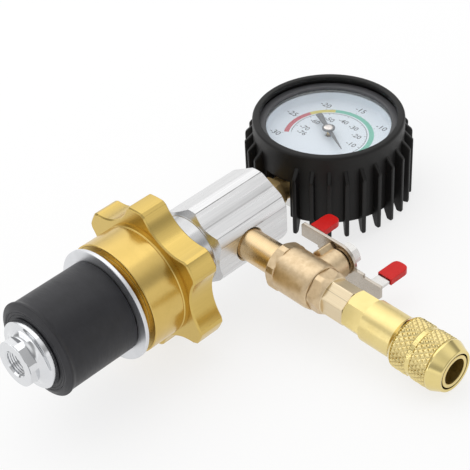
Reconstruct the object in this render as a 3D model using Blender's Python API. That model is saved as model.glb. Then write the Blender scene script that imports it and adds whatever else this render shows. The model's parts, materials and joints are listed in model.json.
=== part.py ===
"""Coolant vacuum filler: expanding rubber bung, manifold block, vacuum gauge, ball valve and coupler.

Every turned piece is drawn as (height, radius) points along the local Z of the empty that carries it.
The empties hang on one frame whose X is the bung's axis and whose Z is the dial's, and that frame is
tipped at the end so that the knob, the gauge boot and the coupler stand on the ground plane.
"""
import math

import bmesh
import bpy
from mathutils import Matrix, Vector

TURN = 2 * math.pi

# Counts of faces round a turned piece
ROUND_LARGE = 40
ROUND_MEDIUM = 28
ROUND_SMALL = 20
ROUND_TINY = 10

# Shared fits, in metres as every length below
FIT = 0.0003
OVERRUN = 0.002
EDGE_BREAK = 0.0005
MERGE_DISTANCE = 0.000001

# Manifold block: hexagonal bar with a turned front and neck
BLOCK_FLAT_RADIUS = 0.01755
BLOCK_CORNER_RADIUS = 0.0191
BLOCK_REAR_LENGTH = 0.0231
BLOCK_FRONT_LENGTH = 0.0174
BLOCK_CONE_LENGTH = 0.0032
BLOCK_CONE_END_RADIUS = 0.0173
NECK_RADIUS = 0.0170
NECK_LENGTH = 0.0133
CHANNEL_RADIUS = 0.0040
PORT_DEPTH = 0.0072
REAR_PORT_DEPTH = 0.0131
STEM_BORE_BACKSET = 0.0057
SEAL_THICKNESS = 0.0012

# Star knob
STAR_THICKNESS = 0.01335
STAR_TIP_RADIUS = 0.0360
STAR_VALLEY_RADIUS = 0.0287
STAR_SCALLOP_RADIUS = 0.0220
STAR_EDGE_BREAK = 0.0007
STAR_LOBES = 6
STAR_FIRST_LOBE = math.radians(33)
STAR_TIP_STEPS = 3
STAR_SCALLOP_STEPS = 8
HUB_RADIUS = 0.0262
HUB_LENGTH = 0.0179
HUB_GROOVE_DEPTH = 0.0004
HUB_GROOVE_OFFSET = 0.0010
BOSS_RADIUS = 0.0246
BOSS_LENGTH = 0.0033

# Washer, bung and end nut
WASHER_RADIUS = 0.0263
WASHER_THICKNESS = 0.0018
PLUG_RADIUS = 0.0220
PLUG_LENGTH = 0.0369
PLUG_REAR_ROUND = 0.0012
PLUG_FRONT_CHAMFER = 0.0020
NUT_FLANGE_RADIUS = 0.0156
NUT_FLANGE_THICKNESS = 0.0031
NUT_HEX_FLAT_RADIUS = 0.0096
NUT_HEX_LENGTH = 0.0048
NUT_END_RADIUS = 0.0104
NUT_END_LENGTH = 0.0022
NUT_END_CHAMFER = 0.0012
NUT_HEX_PHASE = math.radians(20)

# Hollow stem through the block, knob and bung
STEM_RADIUS = 0.0090
STEM_BORE_RADIUS = 0.0035
STEM_TIP_RADIUS = 0.0050
STEM_TIP_RECESS = 0.0030
STEM_SHOULDER_BACKSET = 0.0040

# Gauge socket
SOCKET_HEX_FLAT_RADIUS = 0.0070
SOCKET_HEX_GAP = 0.0006
SOCKET_HEX_LENGTH = 0.0104
SOCKET_STUB_RADIUS = 0.0064
SOCKET_SPIGOT_RADIUS = 0.0058
SOCKET_BORE_RADIUS = 0.0025
SOCKET_BLOCK_WIDTH = 0.0140
SOCKET_BLOCK_DEPTH = 0.0100
SOCKET_BLOCK_HEIGHT = 0.0112
SOCKET_BLOCK_INSET = 0.0135

# Gauge case, window and dial: heights are above the stem's axis
CASE_RADIUS = 0.0315
CASE_WALL = 0.0010
CASE_BACK = 0.0105
CASE_FRONT = 0.0176
BEZEL_OVERHANG = 0.0017
BEZEL_FACE_WIDTH = 0.0042
BEZEL_FACE_THICKNESS = 0.00105
BEZEL_LIP_THICKNESS = 0.0008
BEZEL_SKIRT_LENGTH = 0.0060
LENS_THICKNESS = 0.0013
DIAL_DEPTH = 0.0050
DIAL_THICKNESS = 0.0005
DIAL_CLEARANCE = 0.0005
DIAL_HOLE_RADIUS = 0.0016

# Needle and its arbor
NEEDLE_REST = math.radians(-28.5)
NEEDLE_RAISE = 0.0032
NEEDLE_THICKNESS = 0.0004
NEEDLE_LENGTH = 0.0172
NEEDLE_ROOT_WIDTH = 0.0022
NEEDLE_TIP_WIDTH = 0.0005
NEEDLE_TAIL_LENGTH = 0.0138
NEEDLE_TAIL_WIDTH = 0.0036
NEEDLE_HUB_RADIUS = 0.0031
NEEDLE_HUB_HEIGHT = 0.0013
NEEDLE_HUB_SHOULDER = 0.0029
NEEDLE_FIT = 0.0001
ARBOR_RADIUS = 0.0008
PINION_TIP_RADIUS = 0.0019
PINION_ROOT_RADIUS = 0.0014
PINION_WIDTH = 0.0018
PINION_TEETH = 12

# Movement behind the dial
PLATE_THICKNESS = 0.0009
PLATE_WIDTH = 0.0180
PLATE_TOP_REACH = 0.0050
BACK_PLATE_INSET = 0.0050
FRONT_PLATE_REACH = 0.0200
PLATE_SPACE = 0.0040
POST_RADIUS = 0.0011
POST_INSET = 0.0022
SECTOR_RADIUS = 0.0126
SECTOR_ROOT_DEPTH = 0.0006
SECTOR_HALF_ANGLE = math.radians(27)
SECTOR_TEETH = 12
SECTOR_REST = math.radians(17.4)
SECTOR_THICKNESS = 0.0012
SECTOR_HUB_RADIUS = 0.0024
SECTOR_TAIL_LENGTH = 0.0088
SECTOR_TAIL_WIDTH = 0.0024
TUBE_PATH_INSET = 0.0075
TUBE_RADIUS = 0.0016
TUBE_END = math.radians(212)
TUBE_POINTS = 30
TUBE_BEVEL_STEPS = 1
TIP_RADIUS = 0.0022
TIP_PIN_RADIUS = 0.0009
LINK_WIDTH = 0.0026
LINK_THICKNESS = 0.0006

# Rubber boot round the gauge
BOOT_WALL = 0.0020
BOOT_STANDOFF = 0.0014
BOOT_RISE = 0.0039
BOOT_LIP_WIDTH = 0.0036
BOOT_LIP_DEPTH = 0.0020
BOOT_EDGE_ROUND = 0.0011
BOOT_BACK_THICKNESS = 0.0016
BOOT_BACK_WIDTH = 0.0088
RIB_COUNT = 30
RIB_REACH = 0.0040
RIB_THICKNESS = 0.0020
RIB_TOP_DROP = 0.0073
RIB_TOP_SLOPE = 0.0045
RIB_FOOT_DROP = 0.0055
RIB_FOOT_WIDTH = 0.0024
RIB_CORNER = 0.0006
RIB_SINK = 0.0009
NOTCH_SIDE_GAP = 0.0014
NOTCH_TOP_GAP = 0.0022

# Side branch: nipple and ball valve, along an axis turned a little from the block's square
VALVE_YAW = math.radians(2)
NIPPLE_RADIUS = 0.0073
NIPPLE_BORE_RADIUS = 0.0040
VALVE_INLET_DISTANCE = 0.0330
INLET_LIP = 0.0008
INLET_CONE_LENGTH = 0.0036
INLET_COLLAR_LENGTH = 0.0093
INLET_COLLAR_RADIUS = 0.0111
INLET_HEX_FLAT_RADIUS = 0.0102
INLET_HEX_PHASE = math.radians(8)
INLET_SOCKET_DEPTH = 0.0073
BARREL_RADIUS = 0.0107
BARREL_LENGTH = 0.0190
BARREL_WALL = 0.0034
BALL_DISTANCE = 0.0213
BALL_RADIUS = 0.0056
BALL_BORE_RADIUS = 0.0032
SEAT_BACKING = 0.0002
SEAT_STANDOFF = 0.0026
BALL_LATITUDES = 10
VALVE_END_HEX_FLAT_RADIUS = 0.0091
VALVE_END_HEX_RADIUS = 0.0099
VALVE_END_HEX_NOSE_RADIUS = 0.0086
VALVE_END_HEX_LENGTH = 0.0059
OUTLET_FLAT_RADIUS = 0.0074
OUTLET_LENGTH = 0.0110
OUTLET_HEX_PHASE = math.radians(2)
OUTLET_SPIGOT_RADIUS = 0.0055
OUTLET_SPIGOT_LENGTH = 0.0075

# Valve stem and butterfly handle
BONNET_RADIUS = 0.0070
BONNET_LENGTH = 0.0181
BONNET_ROOF = 0.0030
LUG_WIDTH = 0.0050
LUG_REACH = 0.0094
LUG_HEIGHT = 0.0035
LUG_DIRECTION = math.radians(225)
SHAFT_RADIUS = 0.0020
SHAFT_COLLAR_RADIUS = 0.0040
SHAFT_COLLAR_THICKNESS = 0.0018
SHAFT_TANG_WIDTH = 0.0046
SHAFT_TANG_THICKNESS = 0.0014
SHAFT_TANG_DEPTH = 0.0016
PLATE_METAL = 0.0015
HANDLE_DISC_RADIUS = 0.0088
HANDLE_WING_LENGTH = 0.0232
HANDLE_WING_INNER = 0.0014
HANDLE_WING_CHAMFER = 0.0012
HANDLE_ARC_STEPS = 8
EAR_LENGTH = 0.0160
EAR_WIDTH = 0.0064
EAR_TONGUE_WIDTH = 0.0054
EAR_BARE_LENGTH = 0.0045
CAP_WIDTH = 0.0076
CAP_THICKNESS = 0.0032
CAP_LENGTH = 0.0118
CAP_CORNER = 0.0022
HANDLE_NUT_FLAT_RADIUS = 0.0043
HANDLE_NUT_LENGTH = 0.0048
SHAFT_PROUD = 0.0006

# Quick coupler
COUPLER_HEX_LENGTH = 0.0118
COUPLER_RADIUS = 0.00945
COUPLER_HEX_PHASE = math.radians(34)
COUPLER_BARREL_LENGTH = 0.0164
COUPLER_CHANNEL_RADIUS = 0.0030
POPPET_CHAMBER_LENGTH = 0.0120
POPPET_CHAMBER_RADIUS = 0.0052
POPPET_CHAMBER_START = 0.0122
COUPLER_TUBE_RADIUS = 0.00733
COUPLER_TUBE_BORE_RADIUS = 0.00574
COUPLER_TUBE_LENGTH = 0.0258
COUPLER_TUBE_SPIGOT_RADIUS = 0.0066
POPPET_SEAT_RADIUS = 0.0034
POPPET_SEAT_THICKNESS = 0.0020
COUPLER_SEAL_OFFSET = 0.0110
COUPLER_SEAL_WIDTH = 0.0016
COUPLER_SEAL_INNER_RADIUS = 0.0050
COUPLER_SEAL_OUTER_RADIUS = 0.0063
LOCK_BALL_COUNT = 6
LOCK_BALL_RADIUS = 0.0012
LOCK_BALL_OFFSET = 0.0025
LOCK_BALL_INSET = 0.00005
LOCK_BALL_DIVISIONS = 2
CLIP_THICKNESS = 0.0010
CLIP_HEIGHT = 0.0005

# Sliding sleeve of the coupler
SLEEVE_RADIUS = 0.0115
SLEEVE_KNURL_RADIUS = 0.0116
SLEEVE_REAR_RADIUS = 0.0100
SLEEVE_REAR_OFFSET = 0.0275
SLEEVE_CONE_LENGTH = 0.0026
SLEEVE_REAR_BAND_LENGTH = 0.0076
SLEEVE_GROOVE_WIDTH = 0.0022
SLEEVE_GROOVE_DEPTH = 0.0005
SLEEVE_FRONT_BAND_LENGTH = 0.0081
SLEEVE_RING_LENGTH = 0.0014
SLEEVE_NOSE_LENGTH = 0.0049
SLEEVE_NOSE_RADIUS = 0.0093
SLEEVE_LAND_LENGTH = 0.0050
SLEEVE_LAND_OFFSET = 0.0127

# Poppet in the coupler
POPPET_HEAD_RADIUS = 0.0046
POPPET_HEAD_THICKNESS = 0.0020
POPPET_NOSE_LENGTH = 0.0045
POPPET_TAIL_RADIUS = 0.0014
POPPET_TAIL_LENGTH = 0.0060

# Springs
SLEEVE_SPRING_WIRE = 0.00045
SLEEVE_SPRING_CURLS = 5
POPPET_SPRING_WIRE = 0.0004
POPPET_SPRING_RADIUS = 0.0034
POPPET_SPRING_CURLS = 5
POINTS_PER_CURL = 9
SPRING_BEVEL_STEPS = 1

# Share of a tooth's pitch at each point of its outline, and whether that point is on the tip circle
TOOTH_SHARES = ((0, False), (0.25, False), (0.4, True), (0.75, True), (0.9, False))

# Share of a corner's radius that its middle point lies inside each face
corner_share = 1 - math.cos(TURN / 8)

# Stations along the bung's axis, from the valve's axis
block_rear = -BLOCK_REAR_LENGTH
cone_end = BLOCK_FRONT_LENGTH + BLOCK_CONE_LENGTH
neck_end = cone_end + NECK_LENGTH
star_rear = neck_end + FIT
star_front = star_rear + STAR_THICKNESS
hub_front = star_front + HUB_LENGTH
boss_front = hub_front + BOSS_LENGTH
washer_rear = boss_front + FIT
washer_front = washer_rear + WASHER_THICKNESS
plug_rear = washer_front + FIT
plug_front = plug_rear + PLUG_LENGTH
nut_rear = plug_front + FIT
nut_flange_front = nut_rear + NUT_FLANGE_THICKNESS
nut_hex_front = nut_flange_front + NUT_HEX_LENGTH
nut_front = nut_hex_front + NUT_END_LENGTH
stem_bore_radius = STEM_RADIUS + FIT
stem_bore_rear = STEM_BORE_BACKSET
stem_rear = stem_bore_rear + SEAL_THICKNESS + 2 * FIT
stem_shoulder = plug_front - STEM_SHOULDER_BACKSET
stem_tip = nut_front - STEM_TIP_RECESS
rear_port_bottom = block_rear + REAR_PORT_DEPTH
socket_stub_end = rear_port_bottom - SEAL_THICKNESS - 2 * FIT
socket_hex_front = block_rear - SOCKET_HEX_GAP
socket_hex_rear = socket_hex_front - SOCKET_HEX_LENGTH

# Stations along the valve's axis, from the bung's axis
side_port_bottom = BLOCK_FLAT_RADIUS - PORT_DEPTH
nipple_start = side_port_bottom + FIT
collar_end = VALVE_INLET_DISTANCE + INLET_COLLAR_LENGTH
nipple_end = VALVE_INLET_DISTANCE + INLET_SOCKET_DEPTH - FIT
barrel_end = collar_end + BARREL_LENGTH
ball_centre = VALVE_INLET_DISTANCE + BALL_DISTANCE
seat_back = BALL_RADIUS + SEAT_BACKING
cavity_radius = BARREL_RADIUS - BARREL_WALL
cavity_start = ball_centre - seat_back - FIT
end_hex_start = barrel_end + FIT
end_spigot_start = ball_centre + seat_back + FIT
end_hex_end = end_hex_start + VALVE_END_HEX_LENGTH
outlet_end = end_hex_end + OUTLET_LENGTH
outlet_spigot_end = outlet_end + OUTLET_SPIGOT_LENGTH
coupler_start = outlet_end + FIT
coupler_hex_end = coupler_start + COUPLER_HEX_LENGTH
coupler_barrel_end = coupler_hex_end + COUPLER_BARREL_LENGTH
chamber_start = coupler_start + POPPET_CHAMBER_START
chamber_end = chamber_start + POPPET_CHAMBER_LENGTH
coupler_socket_end = outlet_spigot_end + FIT
tube_shoulder = coupler_barrel_end + FIT
tube_spigot_start = chamber_end + FIT
tube_end = tube_shoulder + COUPLER_TUBE_LENGTH
sleeve_start = coupler_start + SLEEVE_REAR_OFFSET
sleeve_cone_end = sleeve_start + SLEEVE_CONE_LENGTH
sleeve_rear_band_end = sleeve_cone_end + SLEEVE_REAR_BAND_LENGTH
sleeve_groove_end = sleeve_rear_band_end + SLEEVE_GROOVE_WIDTH
sleeve_front_band_end = sleeve_groove_end + SLEEVE_FRONT_BAND_LENGTH
sleeve_ring_end = sleeve_front_band_end + SLEEVE_RING_LENGTH
sleeve_end = sleeve_ring_end + SLEEVE_NOSE_LENGTH
sleeve_land_start = sleeve_start + SLEEVE_LAND_OFFSET
sleeve_land_end = sleeve_land_start + SLEEVE_LAND_LENGTH
lock_ball_station = sleeve_land_start + LOCK_BALL_OFFSET
clip_start = sleeve_land_end + FIT
clip_outer_radius = COUPLER_TUBE_RADIUS + FIT + CLIP_HEIGHT
poppet_head_front = tube_spigot_start - FIT
poppet_head_back = poppet_head_front - POPPET_HEAD_THICKNESS

# Heights along the handle's axis, outward from the valve's axis
handle_plate_bottom = BONNET_LENGTH + FIT
handle_plate_top = handle_plate_bottom + PLATE_METAL
handle_nut_bottom = handle_plate_top + FIT
handle_nut_top = handle_nut_bottom + HANDLE_NUT_LENGTH
shaft_tang_bottom = BALL_RADIUS - SHAFT_TANG_DEPTH
shaft_collar_bottom = cavity_radius + FIT
shaft_collar_top = shaft_collar_bottom + SHAFT_COLLAR_THICKNESS
packing_bottom = shaft_collar_top + FIT
packing_top = BONNET_LENGTH - BONNET_ROOF - FIT
packing_pocket_radius = SHAFT_COLLAR_RADIUS + FIT

# Radii about the gauge's centre, and its distance from the valve's axis
case_inner_radius = CASE_RADIUS - CASE_WALL
dial_radius = case_inner_radius - DIAL_CLEARANCE
bezel_radius = CASE_RADIUS + BEZEL_OVERHANG
bezel_window_radius = bezel_radius - BEZEL_FACE_WIDTH
boot_inner_radius = CASE_RADIUS + FIT
boot_bezel_radius = bezel_radius + FIT
boot_radius = boot_bezel_radius + BOOT_WALL
boot_lip_radius = boot_radius - BOOT_LIP_WIDTH
boot_back_opening = boot_inner_radius - BOOT_BACK_WIDTH
rib_outer_radius = boot_radius + RIB_REACH
notch_half_width = SOCKET_SPIGOT_RADIUS + NOTCH_SIDE_GAP
notch_top = SOCKET_SPIGOT_RADIUS + NOTCH_TOP_GAP
tube_path_radius = case_inner_radius - TUBE_PATH_INSET
back_plate_reach = case_inner_radius - BACK_PLATE_INSET
socket_block_near = case_inner_radius - SOCKET_BLOCK_INSET
socket_block_far = socket_block_near + SOCKET_BLOCK_DEPTH
gauge_distance = boot_radius + BOOT_STANDOFF - socket_hex_rear

# Heights above the gauge's centre plane
back_plate_bottom = SOCKET_BLOCK_HEIGHT / 2 + FIT
back_plate_top = back_plate_bottom + PLATE_THICKNESS
front_plate_bottom = back_plate_top + PLATE_SPACE
front_plate_top = front_plate_bottom + PLATE_THICKNESS
sector_bottom = back_plate_top + (PLATE_SPACE - PINION_WIDTH) / 2
link_bottom = sector_bottom + SECTOR_THICKNESS + FIT
tube_start_angle = -math.acos((SOCKET_BLOCK_WIDTH / 2 + FIT) / (tube_path_radius - TUBE_RADIUS))
sector_distance = SECTOR_RADIUS + PINION_TIP_RADIUS + FIT
dial_top = CASE_FRONT - DIAL_DEPTH
dial_bottom = dial_top - DIAL_THICKNESS
needle_bottom = dial_top + NEEDLE_RAISE
needle_top = needle_bottom + NEEDLE_THICKNESS
lens_bottom = CASE_FRONT + FIT
lens_top = lens_bottom + LENS_THICKNESS
bezel_seat = lens_top + FIT / 2
bezel_top = bezel_seat + BEZEL_FACE_THICKNESS
bezel_skirt_bottom = bezel_top - BEZEL_SKIRT_LENGTH
boot_ledge = bezel_skirt_bottom - FIT
boot_back_inside = -CASE_BACK - FIT
boot_back = boot_back_inside - BOOT_BACK_THICKNESS
boot_top = bezel_top + BOOT_RISE
boot_lip_underside = boot_top - BOOT_LIP_DEPTH
rib_top = boot_top - RIB_TOP_DROP
rib_bottom = boot_back - RIB_FOOT_DROP

# Colour, roughness and metallic value of each material
FINISHES = {
    "bare_aluminium": ((0.72, 0.73, 0.73), 0.32, 1.0),
    "polished_aluminium": ((0.80, 0.81, 0.82), 0.15, 1.0),
    "gold_anodised": ((0.76, 0.53, 0.15), 0.28, 1.0),
    "grey_rubber": ((0.045, 0.045, 0.050), 0.70, 0.0),
    "black_rubber": ((0.020, 0.019, 0.019), 0.55, 0.0),
    "dark_seal": ((0.030, 0.030, 0.030), 0.60, 0.0),
    "white_polymer": ((0.80, 0.79, 0.74), 0.45, 0.0),
    "zinc_steel": ((0.68, 0.70, 0.72), 0.25, 1.0),
    "painted_ring": ((0.075, 0.075, 0.078), 0.45, 0.0),
    "clear_window": ((0.90, 0.93, 0.95), 0.05, 0.0),
    "dial_paint": ((0.70, 0.76, 0.84), 0.50, 0.0),
    "needle_grey": ((0.20, 0.21, 0.22), 0.45, 0.3),
    "plain_brass": ((0.70, 0.50, 0.22), 0.30, 1.0),
    "cast_brass": ((0.66, 0.47, 0.27), 0.45, 1.0),
    "yellow_brass": ((0.82, 0.64, 0.18), 0.24, 1.0),
    "red_vinyl": ((0.65, 0.030, 0.030), 0.45, 0.0),
    "spring_steel": ((0.55, 0.56, 0.58), 0.30, 1.0),
}


def clear_scene():
    for item in list(bpy.data.objects):
        bpy.data.objects.remove(item, do_unlink=True)


def finish_material(name):
    """One Principled material for each finish, made the first time it is asked for."""
    found = bpy.data.materials.get(name)
    if found:
        return found
    colour, roughness, metallic = FINISHES[name]
    material = bpy.data.materials.new(name)
    material.use_nodes = True
    shader = material.node_tree.nodes["Principled BSDF"]
    shader.inputs["Base Color"].default_value = (*colour, 1)
    shader.inputs["Roughness"].default_value = roughness
    shader.inputs["Metallic"].default_value = metallic
    material.diffuse_color = (*colour, 1)
    return material


def add_empty(name, carrier, origin, x_axis, z_axis):
    """An empty whose local X and Z point as given in its carrier's frame."""
    empty = bpy.data.objects.new(name, None)
    bpy.context.scene.collection.objects.link(empty)
    empty.parent = carrier
    along = Vector(z_axis).normalized()
    across = Vector(x_axis).normalized()
    columns = Matrix((across, along.cross(across), along)).transposed()
    empty.matrix_local = Matrix.Translation(origin) @ columns.to_4x4()
    return empty


def add_object(name, data, carrier, finish):
    item = bpy.data.objects.new(name, data)
    bpy.context.scene.collection.objects.link(item)
    item.parent = carrier
    if finish:
        data.materials.append(finish_material(finish))
    return item


def close_mesh(name, mesh_builder, carrier, finish):
    """Turns the faces outward, shades them smooth between sharp edges and makes the object."""
    bmesh.ops.remove_doubles(mesh_builder, verts=mesh_builder.verts, dist=MERGE_DISTANCE)
    bmesh.ops.recalc_face_normals(mesh_builder, faces=mesh_builder.faces)
    mesh = bpy.data.meshes.new(name)
    mesh_builder.to_mesh(mesh)
    mesh_builder.free()
    mesh.shade_smooth()
    mesh.set_sharp_from_angle(angle=math.radians(30))
    return add_object(name, mesh, carrier, finish)


def turned(name, profile, carrier, finish, steps):
    """A body turned about local Z; the profile closes on the axis or, off it, as a ring."""
    mesh_builder = bmesh.new()
    points = [mesh_builder.verts.new((radius, 0, height)) for height, radius in profile]
    edges = [mesh_builder.edges.new(pair) for pair in zip(points, points[1:])]
    if profile[0][1] > 0:
        edges.append(mesh_builder.edges.new((points[-1], points[0])))
    bmesh.ops.spin(mesh_builder, geom=points + edges, cent=(0, 0, 0), axis=(0, 0, 1),
                   angle=TURN, steps=steps, use_merge=True)
    return close_mesh(name, mesh_builder, carrier, finish)


def stacked(name, loops, carrier, finish):
    """A body through loops of points with the same count, closed by a face at each end."""
    mesh_builder = bmesh.new()
    rings = [[mesh_builder.verts.new(point) for point in loop] for loop in loops]
    for lower, upper in zip(rings, rings[1:]):
        for index, corner in enumerate(lower):
            after = (index + 1) % len(lower)
            mesh_builder.faces.new((corner, lower[after], upper[after], upper[index]))
    mesh_builder.faces.new(rings[0])
    mesh_builder.faces.new(rings[-1])
    return close_mesh(name, mesh_builder, carrier, finish)


def prism(name, outline, bottom, top, carrier, finish):
    """An outline in local XY, extruded between two heights."""
    loops = [[(x, y, height) for x, y in outline] for height in (bottom, top)]
    return stacked(name, loops, carrier, finish)


def box(name, low, high, carrier, finish):
    outline = [(low[0], low[1]), (high[0], low[1]), (high[0], high[1]), (low[0], high[1])]
    return prism(name, outline, low[2], high[2], carrier, finish)


def hexagon(flat_radius, phase):
    corner_radius = flat_radius / math.cos(TURN / 12)
    return [polar(corner_radius, phase + TURN * index / 6) for index in range(6)]


def polar(radius, angle):
    return (radius * math.cos(angle), radius * math.sin(angle))


def rod(name, bottom, top, radius, carrier, finish, steps):
    profile = [(bottom, 0), (bottom, radius), (top, radius), (top, 0)]
    return turned(name, profile, carrier, finish, steps)


def pipe(name, bottom, top, inner, outer, carrier, finish, steps):
    profile = [(bottom, inner), (bottom, outer), (top, outer), (top, inner)]
    return turned(name, profile, carrier, finish, steps)


def combine(target, operand, operation):
    """Adds a Boolean modifier and keeps its operand as a hidden wire guide."""
    modifier = target.modifiers.new(operand.name, "BOOLEAN")
    modifier.operation = operation
    modifier.solver = "EXACT"
    modifier.object = operand
    operand.hide_render = True
    operand.display_type = "WIRE"


def tube_along(name, points, radius, resolution, carrier, finish):
    """A closed round tube through points, made as a curve with a bevel and filled caps."""
    curve = bpy.data.curves.new(name, "CURVE")
    curve.dimensions = "3D"
    curve.bevel_depth = radius
    curve.bevel_resolution = resolution
    curve.use_fill_caps = True
    spline = curve.splines.new("POLY")
    spline.points.add(len(points) - 1)
    for place, point in zip(spline.points, points):
        place.co = (*point, 1)
    add_object(name, curve, carrier, finish)


def spring(name, start, end, radius, wire, curls, carrier):
    """One unbroken helix along local Z, with its least gap to itself measured and printed."""
    steps = curls * POINTS_PER_CURL
    rise = (end - start - 2 * wire) / steps
    points = []
    for index in range(steps + 1):
        x, y = polar(radius, TURN * index / POINTS_PER_CURL)
        points.append(Vector((x, y, start + wire + rise * index)))
    apart = min((points[i] - points[j]).length
                for i in range(len(points)) for j in range(i + POINTS_PER_CURL - 1, len(points)))
    print(name, "least gap to itself in millimetres", round((apart - 2 * wire) * 1000, 2))
    tube_along(name, points, wire, SPRING_BEVEL_STEPS, carrier, "spring_steel")


def gear_outline(tip, root, teeth, first, last):
    """Points of teeth between two angles, each with a flat tip and a flat root."""
    points = []
    pitch = (last - first) / teeth
    for index in range(teeth):
        start = first + pitch * index
        for share, on_tip in TOOTH_SHARES:
            points.append(polar(tip if on_tip else root, start + pitch * share))
    return points


def make_block(bung_axis, valve_axis):
    """Hexagonal bar whose corners are turned, with the neck, the stem's bore and two ports."""
    outline = [
        (block_rear, 0),
        (block_rear, BLOCK_CORNER_RADIUS - EDGE_BREAK),
        (block_rear + EDGE_BREAK, BLOCK_CORNER_RADIUS),
        (BLOCK_FRONT_LENGTH, BLOCK_CORNER_RADIUS),
        (cone_end, BLOCK_CONE_END_RADIUS),
        (cone_end, NECK_RADIUS),
        (neck_end - EDGE_BREAK, NECK_RADIUS),
        (neck_end, NECK_RADIUS - EDGE_BREAK),
        (neck_end, 0),
    ]
    block = turned("manifold_block", outline, bung_axis, "bare_aluminium", ROUND_LARGE)
    bar = prism("block_bar_shape", hexagon(BLOCK_FLAT_RADIUS, TURN / 12),
                block_rear - OVERRUN, neck_end + OVERRUN, bung_axis, None)
    combine(block, bar, "INTERSECT")
    bore = [
        (block_rear - OVERRUN, 0),
        (block_rear - OVERRUN, SOCKET_STUB_RADIUS + FIT),
        (rear_port_bottom, SOCKET_STUB_RADIUS + FIT),
        (rear_port_bottom, CHANNEL_RADIUS),
        (stem_bore_rear, CHANNEL_RADIUS),
        (stem_bore_rear, stem_bore_radius),
        (neck_end + OVERRUN, stem_bore_radius),
        (neck_end + OVERRUN, 0),
    ]
    combine(block, turned("block_bore_shape", bore, bung_axis, None, ROUND_SMALL), "DIFFERENCE")
    port = [
        (0, 0),
        (0, CHANNEL_RADIUS - EDGE_BREAK),
        (side_port_bottom, CHANNEL_RADIUS - EDGE_BREAK),
        (side_port_bottom, NIPPLE_RADIUS + FIT),
        (BLOCK_CORNER_RADIUS + OVERRUN, NIPPLE_RADIUS + FIT),
        (BLOCK_CORNER_RADIUS + OVERRUN, 0),
    ]
    combine(block, turned("block_port_shape", port, valve_axis, None, ROUND_SMALL), "DIFFERENCE")


def star_loop(height, inset):
    """Knob outline at one height: six tips on a circle, with hollow scallops between them."""
    tip = STAR_TIP_RADIUS - inset
    hollow = STAR_SCALLOP_RADIUS + inset
    centre = STAR_VALLEY_RADIUS + STAR_SCALLOP_RADIUS
    lobe = TURN / STAR_LOBES
    meeting = math.acos((tip ** 2 + centre ** 2 - hollow ** 2) / (2 * tip * centre))
    swing = math.asin(tip * math.sin(meeting) / hollow)
    points = []
    for index in range(STAR_LOBES):
        middle = STAR_FIRST_LOBE + lobe * index
        reach = lobe / 2 - meeting
        for step in range(STAR_TIP_STEPS):
            angle = middle - reach + 2 * reach * step / STAR_TIP_STEPS
            points.append((*polar(tip, angle), height))
        valley = middle + lobe / 2
        for step in range(STAR_SCALLOP_STEPS):
            turn = -swing + 2 * swing * step / STAR_SCALLOP_STEPS
            out = centre - hollow * math.cos(turn)
            side = hollow * math.sin(turn)
            points.append((out * math.cos(valley) - side * math.sin(valley),
                           out * math.sin(valley) + side * math.cos(valley), height))
    return points


def make_knob(bung_axis):
    """Six lobed star with its hub and front boss, bored for the stem."""
    levels = [
        (star_rear, STAR_EDGE_BREAK),
        (star_rear + STAR_EDGE_BREAK, 0),
        (star_front - STAR_EDGE_BREAK, 0),
        (star_front, STAR_EDGE_BREAK),
    ]
    knob = stacked("star_knob", [star_loop(*level) for level in levels], bung_axis, "gold_anodised")
    groove = star_front + HUB_GROOVE_OFFSET
    hub = [
        (star_front - OVERRUN, 0),
        (star_front - OVERRUN, HUB_RADIUS),
        (groove, HUB_RADIUS),
        (groove + HUB_GROOVE_DEPTH, HUB_RADIUS - HUB_GROOVE_DEPTH),
        (groove + 2 * HUB_GROOVE_DEPTH, HUB_RADIUS),
        (hub_front - EDGE_BREAK, HUB_RADIUS),
        (hub_front, HUB_RADIUS - EDGE_BREAK),
        (hub_front, BOSS_RADIUS),
        (boss_front, BOSS_RADIUS),
        (boss_front, 0),
    ]
    combine(knob, turned("knob_hub_shape", hub, bung_axis, None, ROUND_LARGE), "UNION")
    bore = rod("knob_bore_shape", star_rear - OVERRUN, boss_front + OVERRUN, stem_bore_radius,
               bung_axis, None, ROUND_SMALL)
    combine(knob, bore, "DIFFERENCE")


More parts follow.
